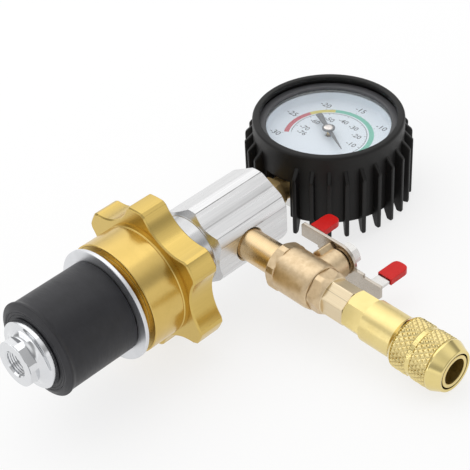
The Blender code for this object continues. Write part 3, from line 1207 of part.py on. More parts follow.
def make_coupler(valve_axis):
    """Quick coupler body with its hexagon, inner tube, lock balls, clip, seal and poppet."""
    barrel = [
        (coupler_start, 0),
        (coupler_start, COUPLER_RADIUS * math.cos(TURN / 12) - EDGE_BREAK),
        (coupler_hex_end - EDGE_BREAK, COUPLER_RADIUS * math.cos(TURN / 12) - EDGE_BREAK),
        (coupler_hex_end - EDGE_BREAK, COUPLER_RADIUS),
        (coupler_barrel_end, COUPLER_RADIUS),
        (coupler_barrel_end, 0),
    ]
    body = turned("coupler_body", barrel, valve_axis, "yellow_brass", ROUND_MEDIUM)
    flats = prism("coupler_hex_shape", hexagon(COUPLER_RADIUS * math.cos(TURN / 12), COUPLER_HEX_PHASE),
                  coupler_start, coupler_hex_end, valve_axis, None)
    combine(body, flats, "UNION")
    inside = [
        (coupler_start - OVERRUN, 0),
        (coupler_start - OVERRUN, OUTLET_SPIGOT_RADIUS + FIT),
        (coupler_socket_end, OUTLET_SPIGOT_RADIUS + FIT),
        (coupler_socket_end, COUPLER_CHANNEL_RADIUS),
        (chamber_start, COUPLER_CHANNEL_RADIUS),
        (chamber_start, POPPET_CHAMBER_RADIUS),
        (chamber_end, POPPET_CHAMBER_RADIUS),
        (chamber_end, COUPLER_TUBE_SPIGOT_RADIUS + FIT),
        (coupler_barrel_end + OVERRUN, COUPLER_TUBE_SPIGOT_RADIUS + FIT),
        (coupler_barrel_end + OVERRUN, 0),
    ]
    combine(body, turned("coupler_inside_shape", inside, valve_axis, None, ROUND_SMALL), "DIFFERENCE")
    seal_start = tube_spigot_start + COUPLER_SEAL_OFFSET
    seal_end = seal_start + COUPLER_SEAL_WIDTH
    tube = [
        (tube_spigot_start, POPPET_SEAT_RADIUS),
        (tube_spigot_start, COUPLER_TUBE_SPIGOT_RADIUS),
        (tube_shoulder, COUPLER_TUBE_SPIGOT_RADIUS),
        (tube_shoulder, COUPLER_TUBE_RADIUS),
        (tube_end - EDGE_BREAK / 2, COUPLER_TUBE_RADIUS),
        (tube_end, COUPLER_TUBE_RADIUS - EDGE_BREAK / 2),
        (tube_end, COUPLER_TUBE_BORE_RADIUS),
        (seal_end + FIT, COUPLER_TUBE_BORE_RADIUS),
        (seal_end + FIT, COUPLER_SEAL_OUTER_RADIUS + FIT),
        (seal_start - FIT, COUPLER_SEAL_OUTER_RADIUS + FIT),
        (seal_start - FIT, COUPLER_TUBE_BORE_RADIUS),
        (tube_spigot_start + POPPET_SEAT_THICKNESS, COUPLER_TUBE_BORE_RADIUS),
        (tube_spigot_start + POPPET_SEAT_THICKNESS, POPPET_SEAT_RADIUS),
    ]
    inner_tube = turned("coupler_tube", tube, valve_axis, "yellow_brass", ROUND_SMALL)
    holes = bmesh.new()
    ball_path = COUPLER_TUBE_RADIUS - LOCK_BALL_RADIUS - LOCK_BALL_INSET
    for index in range(LOCK_BALL_COUNT):
        angle = TURN * index / LOCK_BALL_COUNT
        centre = Vector((*polar(ball_path, angle), lock_ball_station))
        ball = bmesh.new()
        bmesh.ops.create_icosphere(ball, subdivisions=LOCK_BALL_DIVISIONS,
                                   radius=LOCK_BALL_RADIUS,
                                   matrix=Matrix.Translation(centre))
        close_mesh("lock_ball_" + str(index + 1), ball, valve_axis, "spring_steel")
        outward = Matrix.Rotation(angle, 4, "Z") @ Matrix.Rotation(TURN / 4, 4, "Y")
        bmesh.ops.create_cone(holes, cap_ends=True, segments=ROUND_TINY,
                              radius1=LOCK_BALL_RADIUS + FIT, radius2=LOCK_BALL_RADIUS + FIT,
                              depth=2 * (COUPLER_TUBE_RADIUS - COUPLER_TUBE_BORE_RADIUS + OVERRUN),
                              matrix=Matrix.Translation(centre) @ outward)
    combine(inner_tube, close_mesh("ball_hole_shapes", holes, valve_axis, None), "DIFFERENCE")
    pipe("sleeve_clip", clip_start, clip_start + CLIP_THICKNESS, COUPLER_TUBE_RADIUS + FIT,
         clip_outer_radius, valve_axis, "spring_steel", ROUND_SMALL)
    pipe("coupler_seal", seal_start, seal_end, COUPLER_SEAL_INNER_RADIUS, COUPLER_SEAL_OUTER_RADIUS,
         valve_axis, "dark_seal", ROUND_SMALL)
    poppet = [
        (poppet_head_back - POPPET_TAIL_LENGTH, 0),
        (poppet_head_back - POPPET_TAIL_LENGTH, POPPET_TAIL_RADIUS),
        (poppet_head_back, POPPET_TAIL_RADIUS),
        (poppet_head_back, POPPET_HEAD_RADIUS),
        (poppet_head_front, POPPET_HEAD_RADIUS),
        (poppet_head_front, POPPET_SEAT_RADIUS - FIT),
        (poppet_head_front + POPPET_NOSE_LENGTH, POPPET_TAIL_RADIUS),
        (poppet_head_front + POPPET_NOSE_LENGTH, 0),
    ]
    turned("poppet", poppet, valve_axis, "plain_brass", ROUND_SMALL)
    spring("poppet_spring", chamber_start + FIT, poppet_head_back - FIT, POPPET_SPRING_RADIUS,
           POPPET_SPRING_WIRE, POPPET_SPRING_CURLS, valve_axis)


def make_sleeve(valve_axis):
    """Sliding sleeve with its grip bands, inner land and the spring behind the land."""
    chamber = COUPLER_RADIUS + FIT
    land = COUPLER_TUBE_RADIUS + FIT
    mouth = clip_outer_radius + FIT
    grooved = SLEEVE_KNURL_RADIUS - SLEEVE_GROOVE_DEPTH
    sleeve = [
        (sleeve_start, chamber),
        (sleeve_start, SLEEVE_REAR_RADIUS),
        (sleeve_cone_end, SLEEVE_KNURL_RADIUS),
        (sleeve_rear_band_end, SLEEVE_KNURL_RADIUS),
        (sleeve_rear_band_end + SLEEVE_GROOVE_DEPTH, grooved),
        (sleeve_groove_end - SLEEVE_GROOVE_DEPTH, grooved),
        (sleeve_groove_end, SLEEVE_KNURL_RADIUS),
        (sleeve_front_band_end, SLEEVE_KNURL_RADIUS),
        (sleeve_front_band_end, SLEEVE_RADIUS),
        (sleeve_ring_end - EDGE_BREAK, SLEEVE_RADIUS),
        (sleeve_end - EDGE_BREAK, SLEEVE_NOSE_RADIUS),
        (sleeve_end, SLEEVE_NOSE_RADIUS - EDGE_BREAK),
        (sleeve_end, mouth),
        (sleeve_land_end, mouth),
        (sleeve_land_end, land),
        (sleeve_land_start, land),
        (sleeve_land_start, chamber),
    ]
    turned("coupler_sleeve", sleeve, valve_axis, "yellow_brass", ROUND_MEDIUM)
    coil_radius = (COUPLER_TUBE_RADIUS + chamber) / 2
    spring("sleeve_spring", tube_shoulder, sleeve_land_start - FIT, coil_radius,
           SLEEVE_SPRING_WIRE, SLEEVE_SPRING_CURLS, valve_axis)


def solid_points(names):
    """World points of the named objects' evaluated meshes."""
    bpy.context.view_layer.update()
    graph = bpy.context.evaluated_depsgraph_get()
    points = []
    for name in names:
        item = bpy.data.objects[name].evaluated_get(graph)
        mesh = item.to_mesh()
        points += [item.matrix_world @ vertex.co for vertex in mesh.vertices]
        item.to_mesh_clear()
    return points


def stand_on_ground(frame):
    """Tips the frame onto its three feet and puts the box's bottom centre at the origin."""
    feet = [solid_points([name]) for name in ("star_knob", "gauge_boot", "coupler_sleeve")]
    up = Vector((0, 0, 1))
    supports = None
    while True:
        lowest = [min(points, key=lambda point: point.dot(up)) for points in feet]
        if lowest == supports:
            break
        supports = lowest
        up = (lowest[1] - lowest[0]).cross(lowest[2] - lowest[0]).normalized()
        if up.z < 0:
            up.negate()
    tip = up.rotation_difference(Vector((0, 0, 1))).to_matrix().to_4x4()
    frame.matrix_world = tip
    solids = [item.name for item in bpy.data.objects
              if item.type in {"MESH", "CURVE"} and not item.hide_render]
    points = solid_points(solids)
    low = Vector([min(point[axis] for point in points) for axis in range(3)])
    high = Vector([max(point[axis] for point in points) for axis in range(3)])
    centre = (low + high) / 2
    frame.matrix_world = Matrix.Translation((-centre.x, -centre.y, -low.z)) @ tip


def main():
    clear_scene()
    frame = add_empty("assembly_frame", None, (0, 0, 0), (1, 0, 0), (0, 0, 1))
    bung_axis = add_empty("bung_axis", frame, (0, 0, 0), (0, 1, 0), (1, 0, 0))
    valve_axis = add_empty("valve_axis", frame, (0, 0, 0), (0, 0, 1),
                           (math.sin(VALVE_YAW), math.cos(VALVE_YAW), 0))
    handle_axis = add_empty("handle_axis", valve_axis, (0, 0, ball_centre), (0, 0, 1), (0, -1, 0))
    dial_axis = add_empty("dial_axis", frame, (-gauge_distance, 0, 0), (0, 1, 0), (0, 0, 1))
    make_block(bung_axis, valve_axis)
    make_knob(bung_axis)
    make_plug_end(bung_axis)
    make_gauge_socket(bung_axis, dial_axis)
    make_gauge_shell(bung_axis, dial_axis)
    make_needle(dial_axis)
    make_movement(dial_axis)
    make_boot(dial_axis)
    make_valve_body(valve_axis, handle_axis)
    make_valve_inside(valve_axis, handle_axis)
    make_handle(handle_axis)
    make_coupler(valve_axis)
    make_sleeve(valve_axis)
    stand_on_ground(frame)


main()
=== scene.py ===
"""Looks of the coolant vacuum filler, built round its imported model. Lengths are in metres."""
import json
import math

import bmesh
import bpy
from mathutils import Matrix, Vector


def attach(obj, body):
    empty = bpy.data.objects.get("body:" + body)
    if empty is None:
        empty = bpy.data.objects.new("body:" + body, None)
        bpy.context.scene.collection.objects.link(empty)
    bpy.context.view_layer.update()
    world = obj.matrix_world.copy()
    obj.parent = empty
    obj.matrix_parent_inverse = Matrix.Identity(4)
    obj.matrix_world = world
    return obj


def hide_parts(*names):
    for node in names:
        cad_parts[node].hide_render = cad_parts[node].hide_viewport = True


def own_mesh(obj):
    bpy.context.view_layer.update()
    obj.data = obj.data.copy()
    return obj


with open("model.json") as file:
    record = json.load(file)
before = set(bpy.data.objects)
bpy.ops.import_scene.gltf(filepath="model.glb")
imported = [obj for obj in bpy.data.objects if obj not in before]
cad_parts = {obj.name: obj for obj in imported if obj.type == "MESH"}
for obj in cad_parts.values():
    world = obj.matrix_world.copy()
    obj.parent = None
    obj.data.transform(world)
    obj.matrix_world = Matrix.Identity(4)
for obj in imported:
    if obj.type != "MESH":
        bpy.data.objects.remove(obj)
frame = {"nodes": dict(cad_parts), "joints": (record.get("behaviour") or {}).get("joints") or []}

TURN = 2 * math.pi
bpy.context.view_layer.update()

# Faces round a turned piece, and how finely its corners are rounded
ROUND_FINE = 160
ROUND_MEDIUM = 112
ROUND_SMALL = 64
CORNER_STEPS = 3
SOFT_EDGE = 0.0003
CRISP_EDGE = 0.00015
FIT = 0.0003
OVERRUN = 0.002

# Block and neck, along the bung's axis from the valve's axis
BLOCK_REAR = -0.0231
BLOCK_FRONT = 0.0178
BLOCK_FLAT_RADIUS = 0.01755
BLOCK_CORNER_RADIUS = 0.0191
COVE_MIDDLE = 0.0203
COVE_MIDDLE_RADIUS = 0.0168
COVE_CURVE = 0.0003
COVE_END = 0.0207
COVE_END_RADIUS = 0.0165
NECK_RADIUS = 0.0163
NECK_END = 0.0339
REAR_PORT_BOTTOM = -0.0100
REAR_PORT_RADIUS = 0.0067
# Dark lines painted along the bar: angle in degrees, width, soft edge and strength. Those at the flats'
# edges are painted shade for the rounded corner bands, 57.5 is the bar's seam, and the broad soft stripe at
# 60 is painted shade across the flat.
BAR_SHADE_AND_SEAM_LINES = (
    (82.6, 0.0003, 0.0001, 0.75),
    (36.9, 0.00028, 0.0001, 0.70),
    (23.1, 0.00025, 0.0001, 0.50),
    (57.5, 0.0003, 0.0005, 0.45),
    (60.0, 0.0004, 0.0028, 0.22),
)
BAR_LINE_FADE = 0.012
PORT_CHAMFER = 0.0007

# Star knob
STAR_REAR = 0.0342
STAR_FRONT = 0.04755
STAR_TIP_RADIUS = 0.0360
STAR_VALLEY_RADIUS = 0.0287
STAR_SCALLOP_RADIUS = 0.0220
STAR_FACE_CHAMFER = 0.0007
STAR_SIDE_CHAMFER = 0.0011
STAR_LOBES = 6
STAR_FIRST_LOBE = math.radians(33)
STAR_TIP_STEPS = 8
STAR_SCALLOP_STEPS = 28
HUB_RADIUS = 0.0262
HUB_FRONT = 0.06545
HUB_GROOVE_START = 0.04855
HUB_GROOVE_DEPTH = 0.0004
HUB_RIM_RADIUS = 0.0252
HUB_RECESS = 0.0012
BOSS_RADIUS = 0.0210
BOSS_FRONT = 0.06875

# Washer, bung, nut and hollow stem
WASHER_REAR = 0.06905
WASHER_FRONT = 0.07085
WASHER_RADIUS = 0.0263
PLUG_REAR = 0.07115
PLUG_FRONT = 0.10805
PLUG_RADIUS = 0.0214
PLUG_LIP_RADIUS = 0.0220
PLUG_LIP_START = 0.0022
PLUG_LIP_WIDTH = 0.0008
PLUG_LIP_INSET = 0.0013
PLUG_FACE_RADIUS = 0.0192
PLUG_RINGS = (0.0170, 0.0183)
PLUG_RING_HEIGHT = 0.00025
NUT_REAR = 0.10835
NUT_FLANGE_FRONT = 0.11145
NUT_FLANGE_RADIUS = 0.0156
NUT_ROOT_RADIUS = 0.0130
NUT_ROOT_CURVE = 0.0014
NUT_BARREL_REAR = 0.1135
NUT_BARREL_RADIUS = 0.0103
NUT_FLAT_REAR = 0.1140
NUT_FLAT_FRONT = 0.11795
NUT_FLAT_RADIUS = 0.0096
NUT_FLAT_PHASE = math.radians(16)
NUT_GROOVE_RADIUS = 0.0095
NUT_GROOVE_WIDTH = 0.00022
NUT_FRONT = 0.11845
NUT_BORE_RADIUS = 0.0056
NUT_BORE_CHAMFER = 0.0007
NUT_THREAD_PITCH = 0.0010
NUT_THREAD_DEPTH = 0.0004
STEM_RADIUS = 0.0090
STEM_REAR = 0.0075
STEM_SHOULDER = 0.10405
STEM_TIP = 0.1128
STEM_TIP_RADIUS = 0.0050
STEM_BORE_RADIUS = 0.0035

# Gauge: heights above the gauge's centre plane
NEEDLE_BOTTOM = 0.0158
NEEDLE_TOP = 0.0162
CASE_RADIUS = 0.0315
CASE_FRONT = 0.0176
BEZEL_RADIUS = 0.0332
BEZEL_WINDOW_RADIUS = 0.0290
BEZEL_SEAT = 0.01935
BEZEL_TOP = 0.0204
BEZEL_SKIRT_BOTTOM = 0.0144
LENS_BOTTOM = 0.0179
LENS_TOP = 0.0192
DIAL_BOTTOM = 0.0121
DIAL_TOP = 0.0126
DIAL_RADIUS = 0.0300
DIAL_RIM_TOP = 0.0170
DIAL_RIM_WIDTH = 0.0006
DIAL_RIM_CURVE = 0.0016
DIAL_HOLE_RADIUS = 0.0016
PRINT_HEIGHT = 0.00003
ARC_INNER_RADIUS = 0.0189
ARC_OUTER_RADIUS = 0.0212
ARCS = (
    ("red", 213, 157),
    ("yellow", 157, 122),
    ("green", 122, -27),
)
SCALE_END = -27
OUTER_DEGREES = 8.07
INNER_DEGREES = 3.14
OUTER_TOP_VALUE = 30
INNER_TOP_VALUE = 76
OUTER_NUMBERS = (30, 25, 20, 15, 10, 5, 0)
OUTER_NUMBER_RADIUS = 0.0253
OUTER_NUMBER_SIZE = 0.0044
INNER_NUMBERS = (76, 70, 60, 50, 40, 30, 20, 10)
INNER_NUMBER_RADIUS = 0.0129
INNER_NUMBER_SIZE = 0.0040
NUMBER_WEIGHT = 0.004
INNER_LINE_RADIUS = 0.0178
INNER_LINE_WIDTH = 0.00025
NEEDLE_REST = math.radians(-28.5)
NEEDLE_LENGTH = 0.0172
NEEDLE_TAIL = 0.0138
NEEDLE_TAIL_WIDTH = 0.0036
NEEDLE_HUB_RADIUS = 0.0031
NEEDLE_HUB_TOP = 0.0175
NEEDLE_DOME_RADIUS = 0.0023

# Boot round the gauge
BOOT_RADIUS = 0.0355
BOOT_TOP = 0.0243
BOOT_LIP_RADIUS = 0.0319
BOOT_LIP_UNDERSIDE = 0.0223
BOOT_LEDGE = 0.0141
BOOT_INNER_RADIUS = 0.0318
BOOT_BEZEL_RADIUS = 0.0335
BOOT_BACK_INSIDE = -0.0108
BOOT_BACK = -0.0124
BOOT_BACK_OPENING = 0.0230
RIB_COUNT = 30
RIB_OUTER_RADIUS = 0.0395
RIB_THICKNESS = 0.0020
RIB_TOP = 0.0170
RIB_TOP_SLOPE = 0.0045
RIB_BOTTOM = -0.0179
RIB_FOOT_WIDTH = 0.0024
RIB_CORNER = 0.0008
RIB_SINK = 0.0009
NOTCH_HALF_WIDTH = 0.0072
NOTCH_TOP = 0.0080

# Gauge socket, along the bung's axis
GAUGE_DISTANCE = 0.0710
SOCKET_BLOCK_NEAR = 0.0170
SOCKET_BLOCK_FAR = 0.0270
SOCKET_BLOCK_WIDTH = 0.0140
SOCKET_BLOCK_HEIGHT = 0.0112
SOCKET_HEX_REAR = -0.0341
SOCKET_HEX_FRONT = -0.0237
SOCKET_HEX_FLAT_RADIUS = 0.0070
SOCKET_STUB_END = -0.0118
SOCKET_STUB_RADIUS = 0.0064
SOCKET_SPIGOT_RADIUS = 0.0058
SOCKET_BORE_RADIUS = 0.0025

# Side branch, along the valve's axis from the bung's axis
NIPPLE_START = 0.01065
NIPPLE_END = 0.0400
NIPPLE_RADIUS = 0.0073
NIPPLE_BORE_RADIUS = 0.0040
COLLAR_START = 0.0366
COLLAR_CONE_END = 0.0380
COLLAR_END = 0.0423
COLLAR_RADIUS = 0.0111
COLLAR_LIP_RADIUS = 0.0084
COLLAR_FLAT_RADIUS = 0.0102
COLLAR_PHASE = math.radians(8)
BARREL_RADIUS = 0.0107
BARREL_END = 0.0613
BARREL_NOSE_RADIUS = 0.0102
BALL_CENTRE = 0.0543
CAVITY_RADIUS = 0.0073
END_HEX_START = 0.0614
END_HEX_END = 0.0683
END_HEX_PHASE = math.radians(22)
END_HEX_RADIUS = 0.0099
END_HEX_NOSE_RADIUS = 0.0086
END_HEX_FLAT_RADIUS = 0.0091
OUTLET_END = 0.0797
OUTLET_FLAT_RADIUS = 0.0074
OUTLET_PHASE = math.radians(5)
# Dark line painted along the middle of an outlet bar flat, painted shade for an edge the flat doesn't have:
# angle in degrees, width, soft edge and strength
OUTLET_SHADE_LINES = ((33, 0.00018, 0.00012, 0.45),)
OUTLET_SPIGOT_RADIUS = 0.0055
OUTLET_SPIGOT_END = 0.0860
BALL_BORE_RADIUS = 0.0032

# Bonnet and handle: heights outward from the valve's axis
BONNET_RADIUS = 0.0070
BONNET_TOP = 0.0181
BONNET_SHOULDER = 0.0171
GLAND_RADIUS = 0.0060
LUG_WIDTH = 0.0050
LUG_REACH = 0.0094
LUG_HEIGHT = 0.0081
LUG_DIRECTION = math.radians(225)
SHAFT_RADIUS = 0.0020
SHAFT_TOP = 0.0257
PLATE_BOTTOM = 0.0184
PLATE_TOP = 0.0199
DISC_RADIUS = 0.0088
WING_LENGTH = 0.0232
WING_INNER = 0.0014
WING_CORNER = 0.0012
TAB_INNER = 0.0002
TAB_END = 0.0134
EAR_TOP = 0.0344
EAR_WIDTH = 0.0064
EAR_BARE_TOP = 0.0244
EAR_BEND_RADIUS = 0.0011
CAP_BOTTOM = 0.0247
CAP_TOP = 0.0365
CAP_WIDTH = 0.0076
CAP_THICKNESS = 0.0032
CAP_CORNER = 0.0032
CAP_EDGE = 0.0013
HANDLE_NUT_BOTTOM = 0.0202
HANDLE_NUT_TOP = 0.0262
HANDLE_NUT_FLAT_RADIUS = 0.0048
HANDLE_NUT_PHASE = math.radians(4)
HANDLE_NUT_COLLAR_RADIUS = 0.0060
HANDLE_NUT_COLLAR = 0.0009

# Coupler
COUPLER_START = 0.0800
COUPLER_CHAMFER = 0.0012
COUPLER_HEX_END = 0.0906
COUPLER_RADIUS = 0.00945
COUPLER_PHASE = math.radians(35.5)
COUPLER_BARREL_END = 0.1070
CHAMBER_START = 0.0910
CHAMBER_END = 0.1030
CHAMBER_RADIUS = 0.0052
TUBE_RADIUS = 0.00733
TUBE_BORE_RADIUS = 0.00574
TUBE_SHOULDER = 0.1073
TUBE_END = 0.1331
TUBE_SPIGOT_START = 0.1033
TUBE_SPIGOT_RADIUS = 0.0066
TUBE_SEAT_RADIUS = 0.0034
SLEEVE_START = 0.1063
SLEEVE_CONE_END = 0.1089
SLEEVE_REAR_BAND_END = 0.1165
SLEEVE_GROOVE_END = 0.1187
SLEEVE_FRONT_BAND_END = 0.1268
SLEEVE_RING_END = 0.1282
SLEEVE_END = 0.1331
SLEEVE_RADIUS = 0.0115
SLEEVE_KNURL_RADIUS = 0.0116
SLEEVE_KNURL_DEPTH = 0.00055
SLEEVE_REAR_RADIUS = 0.0100
SLEEVE_GROOVE_RADIUS = 0.0111
SLEEVE_NOSE_RADIUS = 0.0093
SLEEVE_LAND_START = 0.1190
SLEEVE_LAND_END = 0.1240
SLEEVE_MOUTH_RADIUS = 0.0079
KNURLS_AROUND = 30
KNURL_STRETCH = 1.35
KNURL_PAD_SHARE = 0.22
KNURL_SHADE = 0.32
KNURL_STEPS_AROUND = 14
KNURL_STEPS_ALONG = 44

# Sky brightness by height, its soft swing round the horizon, and the floor's own white
SKY_LEVELS = ((0.0, 1.0), (0.14, 1.0), (0.30, 0.42), (0.42, 0.42), (0.72, 0.85), (1.0, 0.90))
SKY_WAVES = 3
SKY_WAVE_PHASE = 0.6
SKY_WAVE_SHARE = 0.28
FLOOR_GLOW = 0.75

# Camera: place and axes in the assembly's own frame
LENS_MM = 106.4
CAMERA_PLACE = (0.33007, 0.35859, 0.38491)
CAMERA_RIGHT = (-0.70162266, 0.71101079, -0.0467899)
CAMERA_UP = (-0.47088723, -0.41338281, 0.7793458)
CAMERA_BACK = (0.53478114, 0.56883944, 0.62484465)


# Frames
def triad(origin, x_axis, z_axis):
    """A matrix whose local Z and X point as given."""
    along = Vector(z_axis).normalized()
    across = Vector(x_axis)
    across = (across - along * across.dot(along)).normalized()
    turned = Matrix((across, along.cross(across), along)).transposed()
    return Matrix.Translation(origin) @ turned.to_4x4()


joints = {joint["name"]: joint for joint in frame["joints"]}
bung_way = Vector(joints["knob_turn"]["axis"])
dial_way = Vector(joints["needle_turn"]["axis"])
side_way = dial_way.cross(bung_way)
valve_way = -Vector(joints["sleeve_slide"]["axis"])
handle_way = -Vector(joints["valve_turn"]["axis"])
centre = Vector(joints["knob_turn"]["pos_m"]) - bung_way * STAR_REAR
gauge_centre = Vector(joints["needle_turn"]["pos_m"]) - dial_way * NEEDLE_BOTTOM
ASSEMBLY = triad(centre, bung_way, dial_way)
BUNG = triad(centre, side_way, bung_way)
DIAL = triad(gauge_centre, side_way, dial_way)
VALVE = triad(centre, dial_way, valve_way)
HANDLE = triad(centre + valve_way * BALL_CENTRE, valve_way, handle_way)


# Meshes
def polar(radius, angle):
    return (radius * math.cos(angle), radius * math.sin(angle))


def rounded(points, size=SOFT_EDGE, steps=CORNER_STEPS, closed=False):
    """Points with every corner turned into a short curve; a third value in a point is its own size."""
    made = []
    last = len(points) - 1
    for index, point in enumerate(points):
        here = Vector(point[:2])
        if not closed and index in (0, last):
            made.append(tuple(here))
            continue
        reach = point[2] if len(point) > 2 else size
        before = Vector(points[index - 1][:2]) - here
        after = Vector(points[(index + 1) % len(points)][:2]) - here
        reach = min(reach, before.length * 0.48, after.length * 0.48)
        if reach <= 0:
            made.append(tuple(here))
            continue
        start = here + before.normalized() * reach
        end = here + after.normalized() * reach
        for step in range(steps + 1):
            share = step / steps
            made.append(tuple(start * (1 - share) ** 2 + here * 2 * share * (1 - share) + end * share ** 2))
    return made


def finish_mesh(name, builder, place, sharp=35):
    """Turns faces outward, shades smooth between sharp edges and places the object."""
    bmesh.ops.remove_doubles(builder, verts=builder.verts, dist=0.0000005)
    bmesh.ops.recalc_face_normals(builder, faces=builder.faces)
    mesh = bpy.data.meshes.new(name)
    builder.to_mesh(mesh)
    builder.free()
    mesh.shade_smooth()
    mesh.set_sharp_from_angle(angle=math.radians(sharp))
    piece = bpy.data.objects.new(name, mesh)
    bpy.context.scene.collection.objects.link(piece)
    piece.matrix_world = place
    return piece


def lathe(name, profile, place, steps=ROUND_MEDIUM, sharp=35):
    """A body turned about local Z from (height, radius) points."""
    builder = bmesh.new()
    circle = [polar(1, TURN * index / steps) for index in range(steps)]
    rings = []
    for height, radius in profile:
        if radius <= 0:
            rings.append([builder.verts.new((0, 0, height))])
        else:
            rings.append([builder.verts.new((radius * x, radius * y, height)) for x, y in circle])
    pairs = list(zip(rings, rings[1:]))
    if profile[0][1] > 0:
        pairs.append((rings[-1], rings[0]))
    for lower, upper in pairs:
        for index in range(steps):
            after = (index + 1) % steps
            corners = (lower[index % len(lower)], lower[after % len(lower)],
                       upper[after % len(upper)], upper[index % len(upper)])
            corners = list(dict.fromkeys(corners))
            if len(corners) > 2:
                builder.faces.new(corners)
    return finish_mesh(name, builder, place, sharp)


def ring(name, low, high, inner, outer, place, edge=SOFT_EDGE, steps=ROUND_MEDIUM):
    corners = [(low, inner), (low, outer), (high, outer), (high, inner)]
    return lathe(name, rounded(corners, edge, closed=True), place, steps)


def loft(name, loops, place, sharp=35):
    """A body through loops of points with the same count, closed by a face at each end."""
    builder = bmesh.new()
    rings = [[builder.verts.new(point) for point in loop] for loop in loops]
    for lower, upper in zip(rings, rings[1:]):
        for index, corner in enumerate(lower):
            after = (index + 1) % len(lower)
            builder.faces.new((corner, lower[after], upper[after], upper[index]))
    builder.faces.new(rings[0])
    builder.faces.new(rings[-1])
    return finish_mesh(name, builder, place, sharp)


def prism(name, outline, low, high, place):
    return loft(name, [[(x, y, height) for x, y in outline] for height in (low, high)], place)


def block(name, low, high, place):
    outline = [(low[0], low[1]), (high[0], low[1]), (high[0], high[1]), (low[0], high[1])]
    return prism(name, outline, low[2], high[2], place)


def hexagon(flat_radius, phase):
    return [polar(flat_radius / math.cos(TURN / 12), phase + TURN * index / 6) for index in range(6)]


def bake(piece):
    """Turns the piece's modifiers into its mesh."""
    graph = bpy.context.evaluated_depsgraph_get()
    piece.data = bpy.data.meshes.new_from_object(piece.evaluated_get(graph))
    piece.modifiers.clear()


def join(target, other, operation="UNION"):
    """Boolean of two pieces, kept as the target's mesh."""
    bpy.context.view_layer.update()
    modifier = target.modifiers.new("join", "BOOLEAN")
    modifier.operation = operation
    modifier.solver = "EXACT"
    modifier.object = other
    bake(target)
    bpy.data.objects.remove(other)
    return target


def bevel(piece, width=CRISP_EDGE, angle=25, segments=2):
    """Rounds the edges sharper than the angle."""
    modifier = piece.modifiers.new("bevel", "BEVEL")
    modifier.width = width
    modifier.segments = segments
    modifier.limit_method = "ANGLE"
    modifier.angle_limit = math.radians(angle)
    modifier.use_clamp_overlap = True
    bake(piece)
    piece.data.shade_smooth()
    piece.data.set_sharp_from_angle(angle=math.radians(40))
    return piece


def dress(piece, body, finish, *nodes, slot=None):
    """Gives the piece its material, its body and the nodes that it stands for."""
    piece.data.materials.clear()
    for material in finish if isinstance(finish, tuple) else (finish,):
        piece.data.materials.append(material)
    modifier = piece.modifiers.new("weighted_normals", "WEIGHTED_NORMAL")
    modifier.keep_sharp = True
    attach(piece, body)
    if nodes:
        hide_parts(*nodes)
    return piece


# Materials
def add_node(tree, kind, settings=(), **values):
    """A node with its settings and inputs; an input's name has _ for each space."""
    made = tree.nodes.new(kind)
    for key, value in dict(settings).items():
        setattr(made, key, value)
    for key, value in values.items():
        place = made.inputs[int(key[1:])] if key[0] == "_" else made.inputs[key.replace("_", " ")]
        if isinstance(value, bpy.types.NodeSocket):
            tree.links.new(value, place)
        else:
            place.default_value = value
    return made


def math_node(tree, operation, first, second=0.0):
    return add_node(tree, "ShaderNodeMath", {"operation": operation}, _0=first, _1=second).outputs[0]


def grain(tree, kind, size):
    """Noise laid as the tool left it: rings round local Z, lines along it, or even grain."""
    place = add_node(tree, "ShaderNodeTexCoord").outputs["Object"]
    parts = add_node(tree, "ShaderNodeSeparateXYZ", _0=place)
    x, y, z = (parts.outputs[index] for index in range(3))
    if kind == "turned":
        radius = math_node(tree, "SQRT", math_node(tree, "ADD", math_node(tree, "MULTIPLY", x, x),
                                                   math_node(tree, "MULTIPLY", y, y)))
        swing = math_node(tree, "MULTIPLY", math_node(tree, "ARCTAN2", y, x), size * 4)
        place = add_node(tree, "ShaderNodeCombineXYZ", _0=radius, _1=swing, _2=z).outputs[0]
    elif kind == "drawn":
        slow = math_node(tree, "MULTIPLY", z, 0.02)
        place = add_node(tree, "ShaderNodeCombineXYZ", _0=x, _1=y, _2=slow).outputs[0]
    return add_node(tree, "ShaderNodeTexNoise", Vector=place, Scale=1 / size, Detail=4.0,
                    Roughness=0.6).outputs["Fac"]


def spread(tree, value, low, high):
    made = add_node(tree, "ShaderNodeMapRange", Value=value, To_Min=low, To_Max=high)
    made.inputs["From Min"].default_value = 0.3
    made.inputs["From Max"].default_value = 0.7
    return made.outputs["Result"]


def surface(name, colour, shade, rough, metallic=0.0, kind="even", size=0.0004, depth=0.00001,
            cloud=0.006, streaks=False, coat=0.0, specular=0.5):
    """A Principled material whose colour, roughness and relief follow its own grain."""
    material = bpy.data.materials.new(name)
    material.use_nodes = True
    tree = material.node_tree
    shader = tree.nodes["Principled BSDF"]
    fine = grain(tree, kind, size)
    clouds = fine if streaks else grain(tree, "even", cloud)
    tint = add_node(tree, "ShaderNodeMix", {"data_type": "RGBA"}, Factor=spread(tree, clouds, 0.0, 1.0))
    tint.inputs[6].default_value = (*colour, 1)
    tint.inputs[7].default_value = (*shade, 1)
    tree.links.new(tint.outputs[2], shader.inputs["Base Color"])
    tree.links.new(spread(tree, fine, rough[0], rough[1]), shader.inputs["Roughness"])
    relief = add_node(tree, "ShaderNodeBump", Height=fine, Strength=1.0, Distance=depth)
    tree.links.new(relief.outputs["Normal"], shader.inputs["Normal"])
    shader.inputs["Metallic"].default_value = metallic
    shader.inputs["Specular IOR Level"].default_value = specular
    shader.inputs["Coat Weight"].default_value = coat
    material.diffuse_color = (*colour, 1)
    return material


